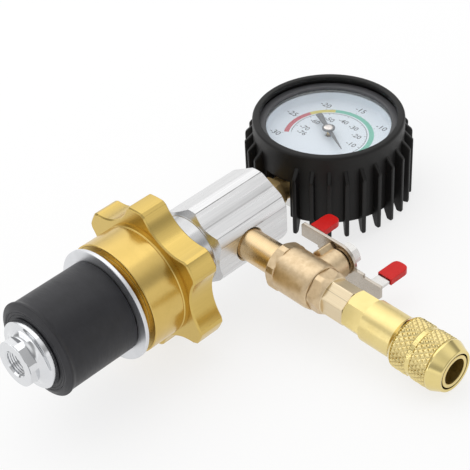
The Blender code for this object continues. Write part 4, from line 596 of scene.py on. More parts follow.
def add_lines(material, lines, radius, fade):
    """Paints dark lines along local Z outside a radius, each at an angle and the one opposite: painted
    shade and reflection lines, and seams.
    """
    tree = material.node_tree
    shader = tree.nodes["Principled BSDF"]
    place = add_node(tree, "ShaderNodeTexCoord").outputs["Object"]
    parts = add_node(tree, "ShaderNodeSeparateXYZ", _0=place)
    x, y = parts.outputs[0], parts.outputs[1]
    total = None
    for angle, width, soft, strength in lines:
        sine = math.sin(math.radians(angle))
        cosine = math.cos(math.radians(angle))
        across = math_node(tree, "ABSOLUTE", math_node(
            tree, "SUBTRACT", math_node(tree, "MULTIPLY", x, sine),
            math_node(tree, "MULTIPLY", y, cosine)))
        mask = add_node(tree, "ShaderNodeMapRange", Value=across, From_Min=width / 2,
                        From_Max=width / 2 + soft, To_Min=strength, To_Max=0.0).outputs["Result"]
        total = math_node(tree, "MAXIMUM", total, mask) if total else mask
    out = math_node(tree, "SQRT", math_node(tree, "ADD", math_node(tree, "MULTIPLY", x, x),
                                            math_node(tree, "MULTIPLY", y, y)))
    outside = math_node(tree, "GREATER_THAN", out, radius)
    uneven = spread(tree, grain(tree, "even", fade), 0.55, 1.0)
    amount = math_node(tree, "MULTIPLY", math_node(tree, "MULTIPLY", total, outside), uneven)
    base = shader.inputs["Base Color"].links[0].from_socket
    dark = add_node(tree, "ShaderNodeMix", {"data_type": "RGBA"}, Factor=amount)
    tree.links.new(base, dark.inputs[6])
    dark.inputs[7].default_value = (0.05, 0.045, 0.04, 1)
    tree.links.new(dark.outputs[2], shader.inputs["Base Color"])


def add_grooves(material, outer, depth, strength):
    """Paints shade on the floors of grooves cut into a body turned about local Z, darker by their depth."""
    tree = material.node_tree
    shader = tree.nodes["Principled BSDF"]
    place = add_node(tree, "ShaderNodeTexCoord").outputs["Object"]
    parts = add_node(tree, "ShaderNodeSeparateXYZ", _0=place)
    x, y = parts.outputs[0], parts.outputs[1]
    out = math_node(tree, "SQRT", math_node(tree, "ADD", math_node(tree, "MULTIPLY", x, x),
                                            math_node(tree, "MULTIPLY", y, y)))
    amount = add_node(tree, "ShaderNodeMapRange", Value=out, From_Min=outer - depth,
                      From_Max=outer - depth / 4, To_Min=strength, To_Max=0.0).outputs["Result"]
    base = shader.inputs["Base Color"].links[0].from_socket
    dark = add_node(tree, "ShaderNodeMix", {"data_type": "RGBA"}, Factor=amount)
    tree.links.new(base, dark.inputs[6])
    dark.inputs[7].default_value = (0.16, 0.10, 0.03, 1)
    tree.links.new(dark.outputs[2], shader.inputs["Base Color"])


BAR = surface("drawn_aluminium", (0.79, 0.79, 0.79), (0.66, 0.66, 0.665), (0.24, 0.36), 1.0,
              "drawn", 0.0008, 0.00002, streaks=True)
# The bar's dark lines: painted shade at the flats' edges and across one flat, and the seam.
add_lines(BAR, BAR_SHADE_AND_SEAM_LINES, BLOCK_FLAT_RADIUS - FIT, BAR_LINE_FADE)
TURNED = surface("turned_aluminium", (0.78, 0.79, 0.80), (0.71, 0.72, 0.74), (0.20, 0.30), 1.0,
                 "turned", 0.0003, 0.000003)
SATIN = surface("satin_washer", (0.76, 0.77, 0.79), (0.71, 0.72, 0.74), (0.34, 0.42), 1.0,
                "turned", 0.0003, 0.000002)
# The neck's turned aluminium, painted darker than TURNED as painted shade for its darker reflections.
NECK_SHADED_METAL = surface("turned_neck_painted_shade", (0.58, 0.58, 0.58), (0.51, 0.51, 0.52), (0.16, 0.24), 1.0,
                     "turned", 0.0003, 0.000003)
CHROME = surface("bright_nut", (0.73, 0.74, 0.75), (0.69, 0.70, 0.72), (0.08, 0.13), 1.0,
                 "turned", 0.0003, 0.0000008)
GOLD = surface("gold_anodised", (0.68, 0.485, 0.155), (0.64, 0.455, 0.14), (0.21, 0.27), 1.0,
               "turned", 0.0004, 0.0000008)
GOLD_DRAWN = surface("gold_anodised_star", (0.65, 0.47, 0.145), (0.62, 0.447, 0.133), (0.20, 0.26), 1.0,
                     "drawn", 0.0008, 0.0000012, streaks=True)
RUBBER = surface("grey_rubber", (0.024, 0.024, 0.028), (0.018, 0.018, 0.021), (0.40, 0.52), 0.0,
                 "turned", 0.0006, 0.000010, specular=0.34)
BOOT = surface("black_rubber", (0.008, 0.0075, 0.0073), (0.010, 0.0095, 0.0093), (0.40, 0.52), 0.0,
               "even", 0.0007, 0.000015, specular=0.26)
RING_PAINT = surface("painted_ring", (0.105, 0.105, 0.110), (0.092, 0.092, 0.097), (0.38, 0.5), 0.0,
                     "turned", 0.0003, 0.000004, specular=0.3)
SEAL = surface("dark_seal", (0.010, 0.010, 0.010), (0.014, 0.014, 0.014), (0.5, 0.65))
POLYMER = surface("white_polymer", (0.80, 0.79, 0.74), (0.74, 0.73, 0.68), (0.4, 0.5))
DIAL_PAINT = surface("dial_paint", (0.82, 0.88, 0.94), (0.80, 0.865, 0.925), (0.45, 0.55),
                     size=0.0002, depth=0.000002, cloud=0.02)
INK = surface("black_ink", (0.045, 0.045, 0.050), (0.060, 0.060, 0.065), (0.5, 0.6))
RED_INK = surface("red_ink", (0.58, 0.085, 0.110), (0.55, 0.08, 0.105), (0.5, 0.6))
YELLOW_INK = surface("yellow_ink", (0.72, 0.62, 0.12), (0.69, 0.59, 0.11), (0.5, 0.6))
GREEN_INK = surface("green_ink", (0.165, 0.56, 0.41), (0.15, 0.53, 0.39), (0.5, 0.6))
NEEDLE_PAINT = surface("needle_grey", (0.12, 0.125, 0.13), (0.10, 0.105, 0.11), (0.4, 0.5))
DOME = surface("needle_dome", (0.78, 0.72, 0.68), (0.72, 0.66, 0.62), (0.12, 0.2), 1.0)
ZINC = surface("zinc_plate", (0.70, 0.69, 0.67), (0.62, 0.61, 0.59), (0.20, 0.32), 1.0,
               "even", 0.0005, 0.000006)
# Zinc plate painted darker and warmer, a painted reflection of the brass under the handle's wings.
LEVER_BRASS_REFLECTION_ZINC = surface("zinc_plate_painted_brass_reflection", (0.55, 0.50, 0.44), (0.48, 0.435, 0.38), (0.20, 0.30), 1.0,
                      "even", 0.0005, 0.000006)
WIRE = surface("spring_steel", (0.55, 0.56, 0.58), (0.50, 0.51, 0.53), (0.25, 0.35), 1.0)
BRASS = surface("plain_brass", (0.70, 0.50, 0.23), (0.62, 0.44, 0.20), (0.22, 0.32), 1.0,
                "turned", 0.0003, 0.000003)
SOCKET_BRASS = surface("machined_brass", (0.80, 0.58, 0.27), (0.72, 0.51, 0.22), (0.42, 0.52), 1.0,
                       "even", 0.0008, 0.000002)
BRIGHT_BRASS = surface("bright_brass", (0.74, 0.56, 0.33), (0.68, 0.50, 0.28), (0.24, 0.33), 1.0,
                       "turned", 0.0003, 0.000002)
CAST_BRASS = surface("cast_brass", (0.73, 0.575, 0.375), (0.60, 0.455, 0.28), (0.34, 0.48), 1.0,
                     "even", 0.0008, 0.00004, cloud=0.0022)
BAR_BRASS = surface("drawn_brass", (0.81, 0.69, 0.48), (0.75, 0.62, 0.42), (0.40, 0.48), 1.0,
                    "drawn", 0.0005, 0.000003, streaks=True)
# A painted shade line across the middle of an outlet bar flat.
add_lines(BAR_BRASS, OUTLET_SHADE_LINES, OUTLET_SPIGOT_RADIUS + FIT, BAR_LINE_FADE)
YELLOW_BRASS = surface("yellow_brass", (0.81, 0.665, 0.30), (0.76, 0.61, 0.26), (0.27, 0.35), 1.0,
                       "turned", 0.0004, 0.000003)
SMOOTH_BRASS = surface("smooth_brass", (0.80, 0.66, 0.29), (0.75, 0.61, 0.25), (0.10, 0.15), 1.0,
                       "turned", 0.0004, 0.0000015)
KNURLED_BRASS = surface("knurled_brass", (0.84, 0.70, 0.33), (0.78, 0.63, 0.27), (0.20, 0.28), 1.0,
                        "turned", 0.0004, 0.000003)
# Painted shade in the knurl's grooves, darker where they are deeper.
add_grooves(KNURLED_BRASS, SLEEVE_KNURL_RADIUS, SLEEVE_KNURL_DEPTH, KNURL_SHADE)
VINYL = surface("red_vinyl", (0.66, 0.012, 0.010), (0.60, 0.010, 0.009), (0.30, 0.40),
                size=0.0006, depth=0.000008, specular=0.22)


def window_material():
    material = bpy.data.materials.new("clear_window")
    material.use_nodes = True
    shader = material.node_tree.nodes["Principled BSDF"]
    shader.inputs["Base Color"].default_value = (0.85, 0.90, 0.95, 1)
    shader.inputs["Roughness"].default_value = 0.04
    shader.inputs["Alpha"].default_value = 0.08
    shader.inputs["Specular IOR Level"].default_value = 1.0
    return material


WINDOW = window_material()

CARRIED = {
    "gauge_case": ZINC, "bourdon_tube": BRASS, "tube_tip": BRASS, "link_bar": BRASS,
    "sector_gear": BRASS, "pinion": BRASS, "movement_back_plate": BRASS,
    "movement_front_plate": BRASS, "movement_post_1": BRASS, "movement_post_2": BRASS,
    "movement_post_3": BRASS, "gauge_seal": SEAL, "stem_seal": SEAL, "coupler_seal": SEAL,
    "ball_seat_inlet": POLYMER, "ball_seat_outlet": POLYMER, "stem_packing": POLYMER,
    "valve_ball": ZINC, "poppet": BRASS, "sleeve_clip": WIRE, "lock_ball_1": WIRE,
    "lock_ball_2": WIRE, "lock_ball_3": WIRE, "lock_ball_4": WIRE, "lock_ball_5": WIRE,
    "lock_ball_6": WIRE,
}


def carry_nodes():
    """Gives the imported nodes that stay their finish."""
    for name, material in CARRIED.items():
        mesh = frame["nodes"][name].data
        mesh.materials.clear()
        mesh.materials.append(material)


# Block, knob, bung and nut
def make_block():
    outline = [
        (BLOCK_REAR, 0),
        (BLOCK_REAR, BLOCK_CORNER_RADIUS, 0.0006),
        (BLOCK_FRONT, BLOCK_CORNER_RADIUS, 0),
        (COVE_MIDDLE, COVE_MIDDLE_RADIUS, COVE_CURVE),
        (COVE_END, COVE_END_RADIUS, 0),
        (COVE_END, NECK_RADIUS, 0),
        (NECK_END, NECK_RADIUS, 0.0004),
        (NECK_END, 0),
    ]
    body = lathe("block_body", rounded(outline), BUNG, ROUND_FINE)
    bar = prism("bar_shape", hexagon(BLOCK_FLAT_RADIUS, TURN / 12), BLOCK_REAR - OVERRUN,
                NECK_END + OVERRUN, BUNG)
    join(body, bar, "INTERSECT")
    rear_bore = lathe("rear_bore_shape", [
        (BLOCK_REAR - OVERRUN, 0),
        (BLOCK_REAR - OVERRUN, REAR_PORT_RADIUS + PORT_CHAMFER),
        (BLOCK_REAR, REAR_PORT_RADIUS + PORT_CHAMFER),
        (BLOCK_REAR + PORT_CHAMFER, REAR_PORT_RADIUS),
        (REAR_PORT_BOTTOM, REAR_PORT_RADIUS),
        (REAR_PORT_BOTTOM, 0)], BUNG, ROUND_SMALL)
    join(body, rear_bore, "DIFFERENCE")
    stem_bore = lathe("stem_bore_shape", [
        (STEM_REAR, 0), (STEM_REAR, STEM_RADIUS + FIT),
        (NECK_END + OVERRUN, STEM_RADIUS + FIT), (NECK_END + OVERRUN, 0)], BUNG, ROUND_SMALL)
    join(body, stem_bore, "DIFFERENCE")
    mouth = NIPPLE_RADIUS + FIT
    port = lathe("port_shape", [
        (NIPPLE_START - FIT, 0),
        (NIPPLE_START - FIT, mouth),
        (BLOCK_FLAT_RADIUS - PORT_CHAMFER, mouth),
        (BLOCK_FLAT_RADIUS, mouth + PORT_CHAMFER),
        (BLOCK_FLAT_RADIUS + OVERRUN, mouth + PORT_CHAMFER),
        (BLOCK_FLAT_RADIUS + OVERRUN, 0)], VALVE, ROUND_SMALL)
    join(body, port, "DIFFERENCE")
    bevel(body, CRISP_EDGE, 18)
    dress(body, "root", (BAR, NECK_SHADED_METAL), "manifold_block", slot="block_aluminium")
    # The neck's faces take the darker neck metal, which is painted shade.
    for face in body.data.polygons:
        face.material_index = 1 if face.center.z > BLOCK_FRONT + SOFT_EDGE and face.normal.z < 0.9 else 0


def star_loop(height, inset):
    """Knob outline at one height, with a chamfer where each tip meets its scallops."""
    tip = STAR_TIP_RADIUS - inset
    hollow = STAR_SCALLOP_RADIUS + inset
    middle = STAR_VALLEY_RADIUS + STAR_SCALLOP_RADIUS
    lobe = TURN / STAR_LOBES
    meeting = math.acos((tip ** 2 + middle ** 2 - hollow ** 2) / (2 * tip * middle))
    swing = math.asin(tip * math.sin(meeting) / hollow)
    tip_cut = STAR_SIDE_CHAMFER / tip
    hollow_cut = STAR_SIDE_CHAMFER / hollow
    points = []
    for index in range(STAR_LOBES):
        lobe_middle = STAR_FIRST_LOBE + lobe * index
        reach = lobe / 2 - meeting - tip_cut
        for step in range(STAR_TIP_STEPS + 1):
            angle = lobe_middle - reach + 2 * reach * step / STAR_TIP_STEPS
            points.append((*polar(tip, angle), height))
        valley = lobe_middle + lobe / 2
        for step in range(STAR_SCALLOP_STEPS + 1):
            turn = (swing - hollow_cut) * (2 * step / STAR_SCALLOP_STEPS - 1)
            out = middle - hollow * math.cos(turn)
            side = hollow * math.sin(turn)
            points.append((out * math.cos(valley) - side * math.sin(valley),
                           out * math.sin(valley) + side * math.cos(valley), height))
    return points


def make_knob():
    levels = [
        (STAR_REAR, STAR_FACE_CHAMFER),
        (STAR_REAR + STAR_FACE_CHAMFER, 0),
        (STAR_FRONT - STAR_FACE_CHAMFER, 0),
        (STAR_FRONT, STAR_FACE_CHAMFER),
    ]
    star = loft("knob_star", [star_loop(*level) for level in levels], BUNG, 20)
    bore = lathe("star_bore_shape", [
        (STAR_REAR - OVERRUN, 0), (STAR_REAR - OVERRUN, STEM_RADIUS + FIT),
        (STAR_FRONT + OVERRUN, STEM_RADIUS + FIT), (STAR_FRONT + OVERRUN, 0)], BUNG, ROUND_SMALL)
    join(star, bore, "DIFFERENCE")
    bevel(star, 0.0001, 20, 2)
    dress(star, "knob", GOLD_DRAWN, "star_knob", slot="knob_anodised")
    groove = HUB_GROOVE_START
    profile = [
        (STAR_FRONT - 0.0005, STEM_RADIUS + FIT),
        (STAR_FRONT - 0.0005, HUB_RADIUS),
        (groove, HUB_RADIUS, CRISP_EDGE),
        (groove + HUB_GROOVE_DEPTH, HUB_RADIUS - HUB_GROOVE_DEPTH, CRISP_EDGE),
        (groove + 2 * HUB_GROOVE_DEPTH, HUB_RADIUS, CRISP_EDGE),
        (HUB_FRONT, HUB_RADIUS, 0.0006),
        (HUB_FRONT, HUB_RIM_RADIUS, CRISP_EDGE),
        (HUB_FRONT - HUB_RECESS, HUB_RIM_RADIUS, SOFT_EDGE),
        (HUB_FRONT - HUB_RECESS, BOSS_RADIUS, SOFT_EDGE),
        (BOSS_FRONT, BOSS_RADIUS, 0.0003),
        (BOSS_FRONT, STEM_RADIUS + FIT),
    ]
    hub = lathe("knob_hub", rounded(profile, closed=False), BUNG, ROUND_FINE)
    dress(hub, "knob", GOLD, slot="knob_anodised")


def make_plug_end():
    washer = ring("washer_ring", WASHER_REAR, WASHER_FRONT, STEM_RADIUS + FIT, WASHER_RADIUS, BUNG,
                  0.0004, ROUND_FINE)
    dress(washer, "carriage", SATIN, "compression_washer", slot="washer_aluminium")
    lip = PLUG_FRONT - PLUG_LIP_INSET
    profile = [
        (PLUG_REAR, STEM_RADIUS + FIT),
        (PLUG_REAR, PLUG_RADIUS, SOFT_EDGE),
        (lip - PLUG_LIP_START, PLUG_RADIUS, 0.0010),
        (lip - PLUG_LIP_WIDTH, PLUG_LIP_RADIUS, 0.0002),
        (lip, PLUG_LIP_RADIUS, CRISP_EDGE),
        (PLUG_FRONT, PLUG_FACE_RADIUS, 0.0004),
    ]
    for radius in reversed(PLUG_RINGS):
        profile += [(PLUG_FRONT, radius + PLUG_RING_HEIGHT),
                    (PLUG_FRONT - PLUG_RING_HEIGHT, radius),
                    (PLUG_FRONT, radius - PLUG_RING_HEIGHT)]
    profile.append((PLUG_FRONT, STEM_RADIUS + FIT))
    plug = lathe("bung", rounded(profile, 0.0001, 4), BUNG, ROUND_FINE)
    dress(plug, "root", RUBBER, "rubber_plug", slot="bung_rubber")
    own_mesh(plug)
    stem = lathe("stem", rounded([
        (STEM_REAR, STEM_BORE_RADIUS), (STEM_REAR, STEM_RADIUS), (STEM_SHOULDER, STEM_RADIUS),
        (STEM_SHOULDER, STEM_TIP_RADIUS), (STEM_TIP, STEM_TIP_RADIUS, 0.0005),
        (STEM_TIP, STEM_BORE_RADIUS, 0.0004)], 0.0002, closed=True), BUNG, ROUND_SMALL)
    dress(stem, "root", TURNED, "main_stem", slot="block_aluminium")
    nut = lathe("nut_shape", rounded([
        (NUT_REAR, 0),
        (NUT_REAR, NUT_FLANGE_RADIUS, SOFT_EDGE),
        (NUT_FLANGE_FRONT, NUT_FLANGE_RADIUS, SOFT_EDGE),
        (NUT_FLANGE_FRONT, NUT_ROOT_RADIUS, NUT_ROOT_CURVE),
        (NUT_BARREL_REAR, NUT_BARREL_RADIUS, NUT_ROOT_CURVE),
        (NUT_FLAT_FRONT, NUT_BARREL_RADIUS, 0),
        (NUT_FLAT_FRONT, NUT_GROOVE_RADIUS, 0),
        (NUT_FLAT_FRONT + NUT_GROOVE_WIDTH, NUT_GROOVE_RADIUS, 0),
        (NUT_FLAT_FRONT + NUT_GROOVE_WIDTH, NUT_BARREL_RADIUS, 0.00005),
        (NUT_FRONT, NUT_BARREL_RADIUS, CRISP_EDGE),
        (NUT_FRONT, 0)], steps=5), BUNG, ROUND_MEDIUM)
    chips = lathe("nut_chip_shape", [
        (NUT_FLAT_REAR, 0),
        (NUT_FLAT_REAR, NUT_BARREL_RADIUS + OVERRUN),
        (NUT_FLAT_FRONT, NUT_BARREL_RADIUS + OVERRUN),
        (NUT_FLAT_FRONT, 0)], BUNG, ROUND_SMALL)
    flats = prism("nut_flat_shape", hexagon(NUT_FLAT_RADIUS, NUT_FLAT_PHASE),
                  NUT_REAR, NUT_FRONT + OVERRUN, BUNG)
    join(chips, flats, "DIFFERENCE")
    join(nut, chips, "DIFFERENCE")
    thread = [(NUT_REAR - OVERRUN, 0), (NUT_REAR - OVERRUN, NUT_BORE_RADIUS)]
    height = NUT_REAR
    while height + NUT_THREAD_PITCH < NUT_FRONT - NUT_BORE_CHAMFER:
        thread += [(height, NUT_BORE_RADIUS), (height + NUT_THREAD_PITCH / 2,
                                               NUT_BORE_RADIUS + NUT_THREAD_DEPTH)]
        height += NUT_THREAD_PITCH
    thread += [
        (height, NUT_BORE_RADIUS),
        (NUT_FRONT - NUT_BORE_CHAMFER, NUT_BORE_RADIUS),
        (NUT_FRONT, NUT_BORE_RADIUS + NUT_BORE_CHAMFER),
        (NUT_FRONT + OVERRUN, NUT_BORE_RADIUS + NUT_BORE_CHAMFER),
        (NUT_FRONT + OVERRUN, 0),
    ]
    join(nut, lathe("nut_bore_shape", thread, BUNG, ROUND_SMALL), "DIFFERENCE")
    bevel(nut, CRISP_EDGE / 2, 30, 1)
    nut.name = "nose_nut"
    nut.data.shade_smooth()
    nut.data.set_sharp_from_angle(angle=math.radians(30))
    dress(nut, "root", CHROME, "end_nut", slot="block_aluminium")


# Gauge
def make_socket():
    shank = lathe("socket", rounded([
        (-GAUGE_DISTANCE + SOCKET_BLOCK_FAR, 0),
        (-GAUGE_DISTANCE + SOCKET_BLOCK_FAR, SOCKET_SPIGOT_RADIUS, 0),
        (SOCKET_HEX_REAR + 0.0005, SOCKET_SPIGOT_RADIUS, 0),
        (SOCKET_HEX_REAR + 0.0005, SOCKET_STUB_RADIUS, 0),
        (SOCKET_STUB_END, SOCKET_STUB_RADIUS, 0.0005),
        (SOCKET_STUB_END, 0)]), BUNG, ROUND_SMALL)
    flats = prism("socket_hex_shape", hexagon(SOCKET_HEX_FLAT_RADIUS, 0), SOCKET_HEX_REAR,
                  SOCKET_HEX_FRONT, BUNG)
    crown = SOCKET_HEX_FLAT_RADIUS / math.cos(TURN / 12)
    turned_corners = lathe("socket_crown_shape", [
        (SOCKET_HEX_REAR, 0), (SOCKET_HEX_REAR, crown - 0.0008), (SOCKET_HEX_REAR + 0.0005, crown),
        (SOCKET_HEX_FRONT - 0.0005, crown), (SOCKET_HEX_FRONT, crown - 0.0008),
        (SOCKET_HEX_FRONT, 0)], BUNG, ROUND_SMALL)
    join(flats, turned_corners, "INTERSECT")
    bevel(flats, 0.0002, 25)
    join(shank, flats)
    holder = block("holder_shape",
                   (-SOCKET_BLOCK_WIDTH / 2, -SOCKET_BLOCK_FAR, -SOCKET_BLOCK_HEIGHT / 2),
                   (SOCKET_BLOCK_WIDTH / 2, -SOCKET_BLOCK_NEAR, SOCKET_BLOCK_HEIGHT / 2), DIAL)
    join(shank, holder)
    bore = lathe("socket_bore_shape", [
        (SOCKET_BLOCK_NEAR + 0.005 - GAUGE_DISTANCE, 0),
        (SOCKET_BLOCK_NEAR + 0.005 - GAUGE_DISTANCE, SOCKET_BORE_RADIUS),
        (SOCKET_STUB_END + OVERRUN, SOCKET_BORE_RADIUS), (SOCKET_STUB_END + OVERRUN, 0)],
        BUNG, ROUND_SMALL)
    join(shank, bore, "DIFFERENCE")
    dress(shank, "root", SOCKET_BRASS, "gauge_socket", slot="brass_plain")


def make_boot():
    cup = lathe("boot", rounded([
        (BOOT_BACK, BOOT_BACK_OPENING, 0.0004),
        (BOOT_BACK, BOOT_RADIUS, 0.0012),
        (BOOT_TOP, BOOT_RADIUS, 0.0015),
        (BOOT_TOP, BOOT_LIP_RADIUS, 0.0012),
        (BOOT_LIP_UNDERSIDE, BOOT_LIP_RADIUS, 0.0004),
        (BOOT_LIP_UNDERSIDE, BOOT_BEZEL_RADIUS, 0),
        (BOOT_LEDGE, BOOT_BEZEL_RADIUS, 0),
        (BOOT_LEDGE, BOOT_INNER_RADIUS, 0),
        (BOOT_BACK_INSIDE, BOOT_INNER_RADIUS, 0),
        (BOOT_BACK_INSIDE, BOOT_BACK_OPENING, 0.0004)], steps=4, closed=True), DIAL, ROUND_FINE)
    builder = bmesh.new()
    root = BOOT_RADIUS - RIB_SINK
    outline = rounded([
        (root, RIB_TOP + RIB_SINK, 0),
        (RIB_OUTER_RADIUS, RIB_TOP - RIB_TOP_SLOPE),
        (RIB_OUTER_RADIUS, RIB_BOTTOM),
        (RIB_OUTER_RADIUS - RIB_FOOT_WIDTH, RIB_BOTTOM),
        (root, BOOT_BACK + 0.0005, 0)], RIB_CORNER, 3, closed=True)
    inset = 0.0004
    middle = Vector((sum(x for x, y in outline), sum(y for x, y in outline))) / len(outline)
    small = []
    for x, y in outline:
        way = Vector((x, y)) - middle
        small.append((x - inset * (1 if way.x > 0 else 0), y - inset * (1 if way.y > 0 else -1)))
    layers = ((-RIB_THICKNESS / 2, small), (-RIB_THICKNESS / 2 + inset, outline),
              (RIB_THICKNESS / 2 - inset, outline), (RIB_THICKNESS / 2, small))
    for index in range(RIB_COUNT):
        angle = (index + 1 / 2) * TURN / RIB_COUNT - TURN / 4
        if abs(angle + TURN / 4) < TURN / RIB_COUNT or abs(angle - TURN * 3 / 4) < TURN / RIB_COUNT:
            continue
        out = Vector((*polar(1, angle), 0))
        along = Vector((-out.y, out.x, 0))
        rings = [[builder.verts.new(out * x + along * offset + Vector((0, 0, y))) for x, y in loop]
                 for offset, loop in layers]
        for lower, upper in zip(rings, rings[1:]):
            for step, corner in enumerate(lower):
                after = (step + 1) % len(lower)
                builder.faces.new((corner, lower[after], upper[after], upper[step]))
        builder.faces.new(rings[0])
        builder.faces.new(rings[-1])
    ribs = finish_mesh("boot_ribs", builder, DIAL, 40)
    join(cup, ribs)
    notch = block("notch_shape", (-NOTCH_HALF_WIDTH, -RIB_OUTER_RADIUS - OVERRUN, RIB_BOTTOM - OVERRUN),
                  (NOTCH_HALF_WIDTH, -BOOT_BACK_OPENING - OVERRUN, NOTCH_TOP), DIAL)
    join(cup, notch, "DIFFERENCE")
    cup.data.shade_smooth()
    cup.data.set_sharp_from_angle(angle=math.radians(40))
    dress(cup, "root", BOOT, "gauge_boot", slot="boot_rubber")


def make_face():
    bezel = lathe("bezel", rounded([
        (BEZEL_SKIRT_BOTTOM, BOOT_INNER_RADIUS, 0),
        (BEZEL_SKIRT_BOTTOM, BEZEL_RADIUS, 0.0003),
        (BEZEL_TOP, BEZEL_RADIUS, 0.0007),
        (BEZEL_TOP, BEZEL_WINDOW_RADIUS + 0.0006, 0.0004),
        (BEZEL_SEAT, BEZEL_WINDOW_RADIUS, 0.0002),
        (BEZEL_SEAT, BOOT_INNER_RADIUS, 0)], closed=True), DIAL, ROUND_FINE)
    dress(bezel, "root", RING_PAINT, "bezel_ring", slot="ring_paint")
    lens = lathe("lens", rounded([
        (LENS_BOTTOM, 0), (LENS_BOTTOM, CASE_RADIUS, 0.0002), (LENS_TOP, CASE_RADIUS, 0.0002),
        (LENS_TOP, 0)]), DIAL, ROUND_FINE)
    dress(lens, "root", WINDOW, "gauge_lens", slot="lens_clear")
    dial = lathe("dial", rounded([
        (DIAL_BOTTOM, DIAL_HOLE_RADIUS, 0),
        (DIAL_BOTTOM, DIAL_RADIUS, 0.0004),
        (DIAL_RIM_TOP, DIAL_RADIUS, 0.0001),
        (DIAL_RIM_TOP, DIAL_RADIUS - DIAL_RIM_WIDTH, 0.0001),
        (DIAL_TOP, DIAL_RADIUS - DIAL_RIM_WIDTH, DIAL_RIM_CURVE),
        (DIAL_TOP, DIAL_HOLE_RADIUS, 0)], steps=5, closed=True), DIAL, ROUND_FINE)
    dress(dial, "root", DIAL_PAINT, "dial_plate", slot="dial_face")
    make_print()
    make_needle()


def add_arc(builder, inner, outer, start, end, low, high, steps=72):
    """A flat ring sector with a little height, from one angle to another in degrees."""
    loops = []
    for step in range(steps + 1):
        angle = math.radians(start + (end - start) * step / steps)
        loops.append([builder.verts.new((*polar(radius, angle), height))
                      for radius, height in ((inner, low), (outer, low), (outer, high), (inner, high))])
    for before, after in zip(loops, loops[1:]):
        for index in range(4):
            other = (index + 1) % 4
            builder.faces.new((before[index], before[other], after[other], after[index]))
    builder.faces.new(loops[0])
    builder.faces.new(loops[-1])


def add_number(builder, text, radius, angle, size, low):
    """A printed number, upright on the dial, centred at a radius and an angle in degrees."""
    curve = bpy.data.curves.new("number", "FONT")
    curve.body = text
    curve.size = size
    curve.align_x = "CENTER"
    curve.align_y = "CENTER"
    curve.extrude = PRINT_HEIGHT / 2
    curve.offset = size * NUMBER_WEIGHT
    curve.resolution_u = 3
    item = bpy.data.objects.new("number", curve)
    bpy.context.scene.collection.objects.link(item)
    bpy.context.view_layer.update()
    graph = bpy.context.evaluated_depsgraph_get()
    mesh = bpy.data.meshes.new_from_object(item.evaluated_get(graph))
    mesh.transform(Matrix.Translation((*polar(radius, math.radians(angle)), low + PRINT_HEIGHT / 2)))
    builder.from_mesh(mesh)
    bpy.data.objects.remove(item)
    bpy.data.meshes.remove(mesh)


def scale_angle(value, degrees):
    return SCALE_END + value * degrees


def make_print():
    inks = {"red": RED_INK, "yellow": YELLOW_INK, "green": GREEN_INK}
    low = DIAL_TOP
    for name, start, end in ARCS:
        builder = bmesh.new()
        add_arc(builder, ARC_INNER_RADIUS, ARC_OUTER_RADIUS, start, end, low, low + PRINT_HEIGHT)
        dress(finish_mesh("arc_" + name, builder, DIAL), "root", inks[name], slot="dial_face")
    builder = bmesh.new()
    add_arc(builder, INNER_LINE_RADIUS, INNER_LINE_RADIUS + INNER_LINE_WIDTH,
            scale_angle(INNER_TOP_VALUE, INNER_DEGREES), SCALE_END, low, low + PRINT_HEIGHT, 120)
    for index in range(0, INNER_TOP_VALUE + 1, 2):
        angle = scale_angle(index, INNER_DEGREES)
        reach = 0.0012 if index % 10 == 0 else 0.0005
        half = 0.35 if index % 10 == 0 else 0.2
        add_arc(builder, INNER_LINE_RADIUS - reach, INNER_LINE_RADIUS, angle + half, angle - half,
                low, low + PRINT_HEIGHT, 1)
    for index in range(OUTER_TOP_VALUE + 1):
        angle = scale_angle(index, OUTER_DEGREES)
        reach = 0.0010 if index % 5 == 0 else 0.0005
        half = 0.25 if index % 5 == 0 else 0.15
        add_arc(builder, ARC_OUTER_RADIUS + 0.0001, ARC_OUTER_RADIUS + reach, angle + half,
                angle - half, low, low + PRINT_HEIGHT, 1)
    ticks = finish_mesh("dial_ticks", builder, DIAL)
    dress(ticks, "root", INK, slot="dial_face")
    builder = bmesh.new()
    for numbers, degrees, radius, size in (
            (OUTER_NUMBERS, OUTER_DEGREES, OUTER_NUMBER_RADIUS, OUTER_NUMBER_SIZE),
            (INNER_NUMBERS, INNER_DEGREES, INNER_NUMBER_RADIUS, INNER_NUMBER_SIZE)):
        for value in numbers:
            text = "-" + str(value) if value else "0"
            add_number(builder, text, radius, scale_angle(value, degrees), size, low)
    dress(finish_mesh("dial_numbers", builder, DIAL), "root", INK, slot="dial_face")


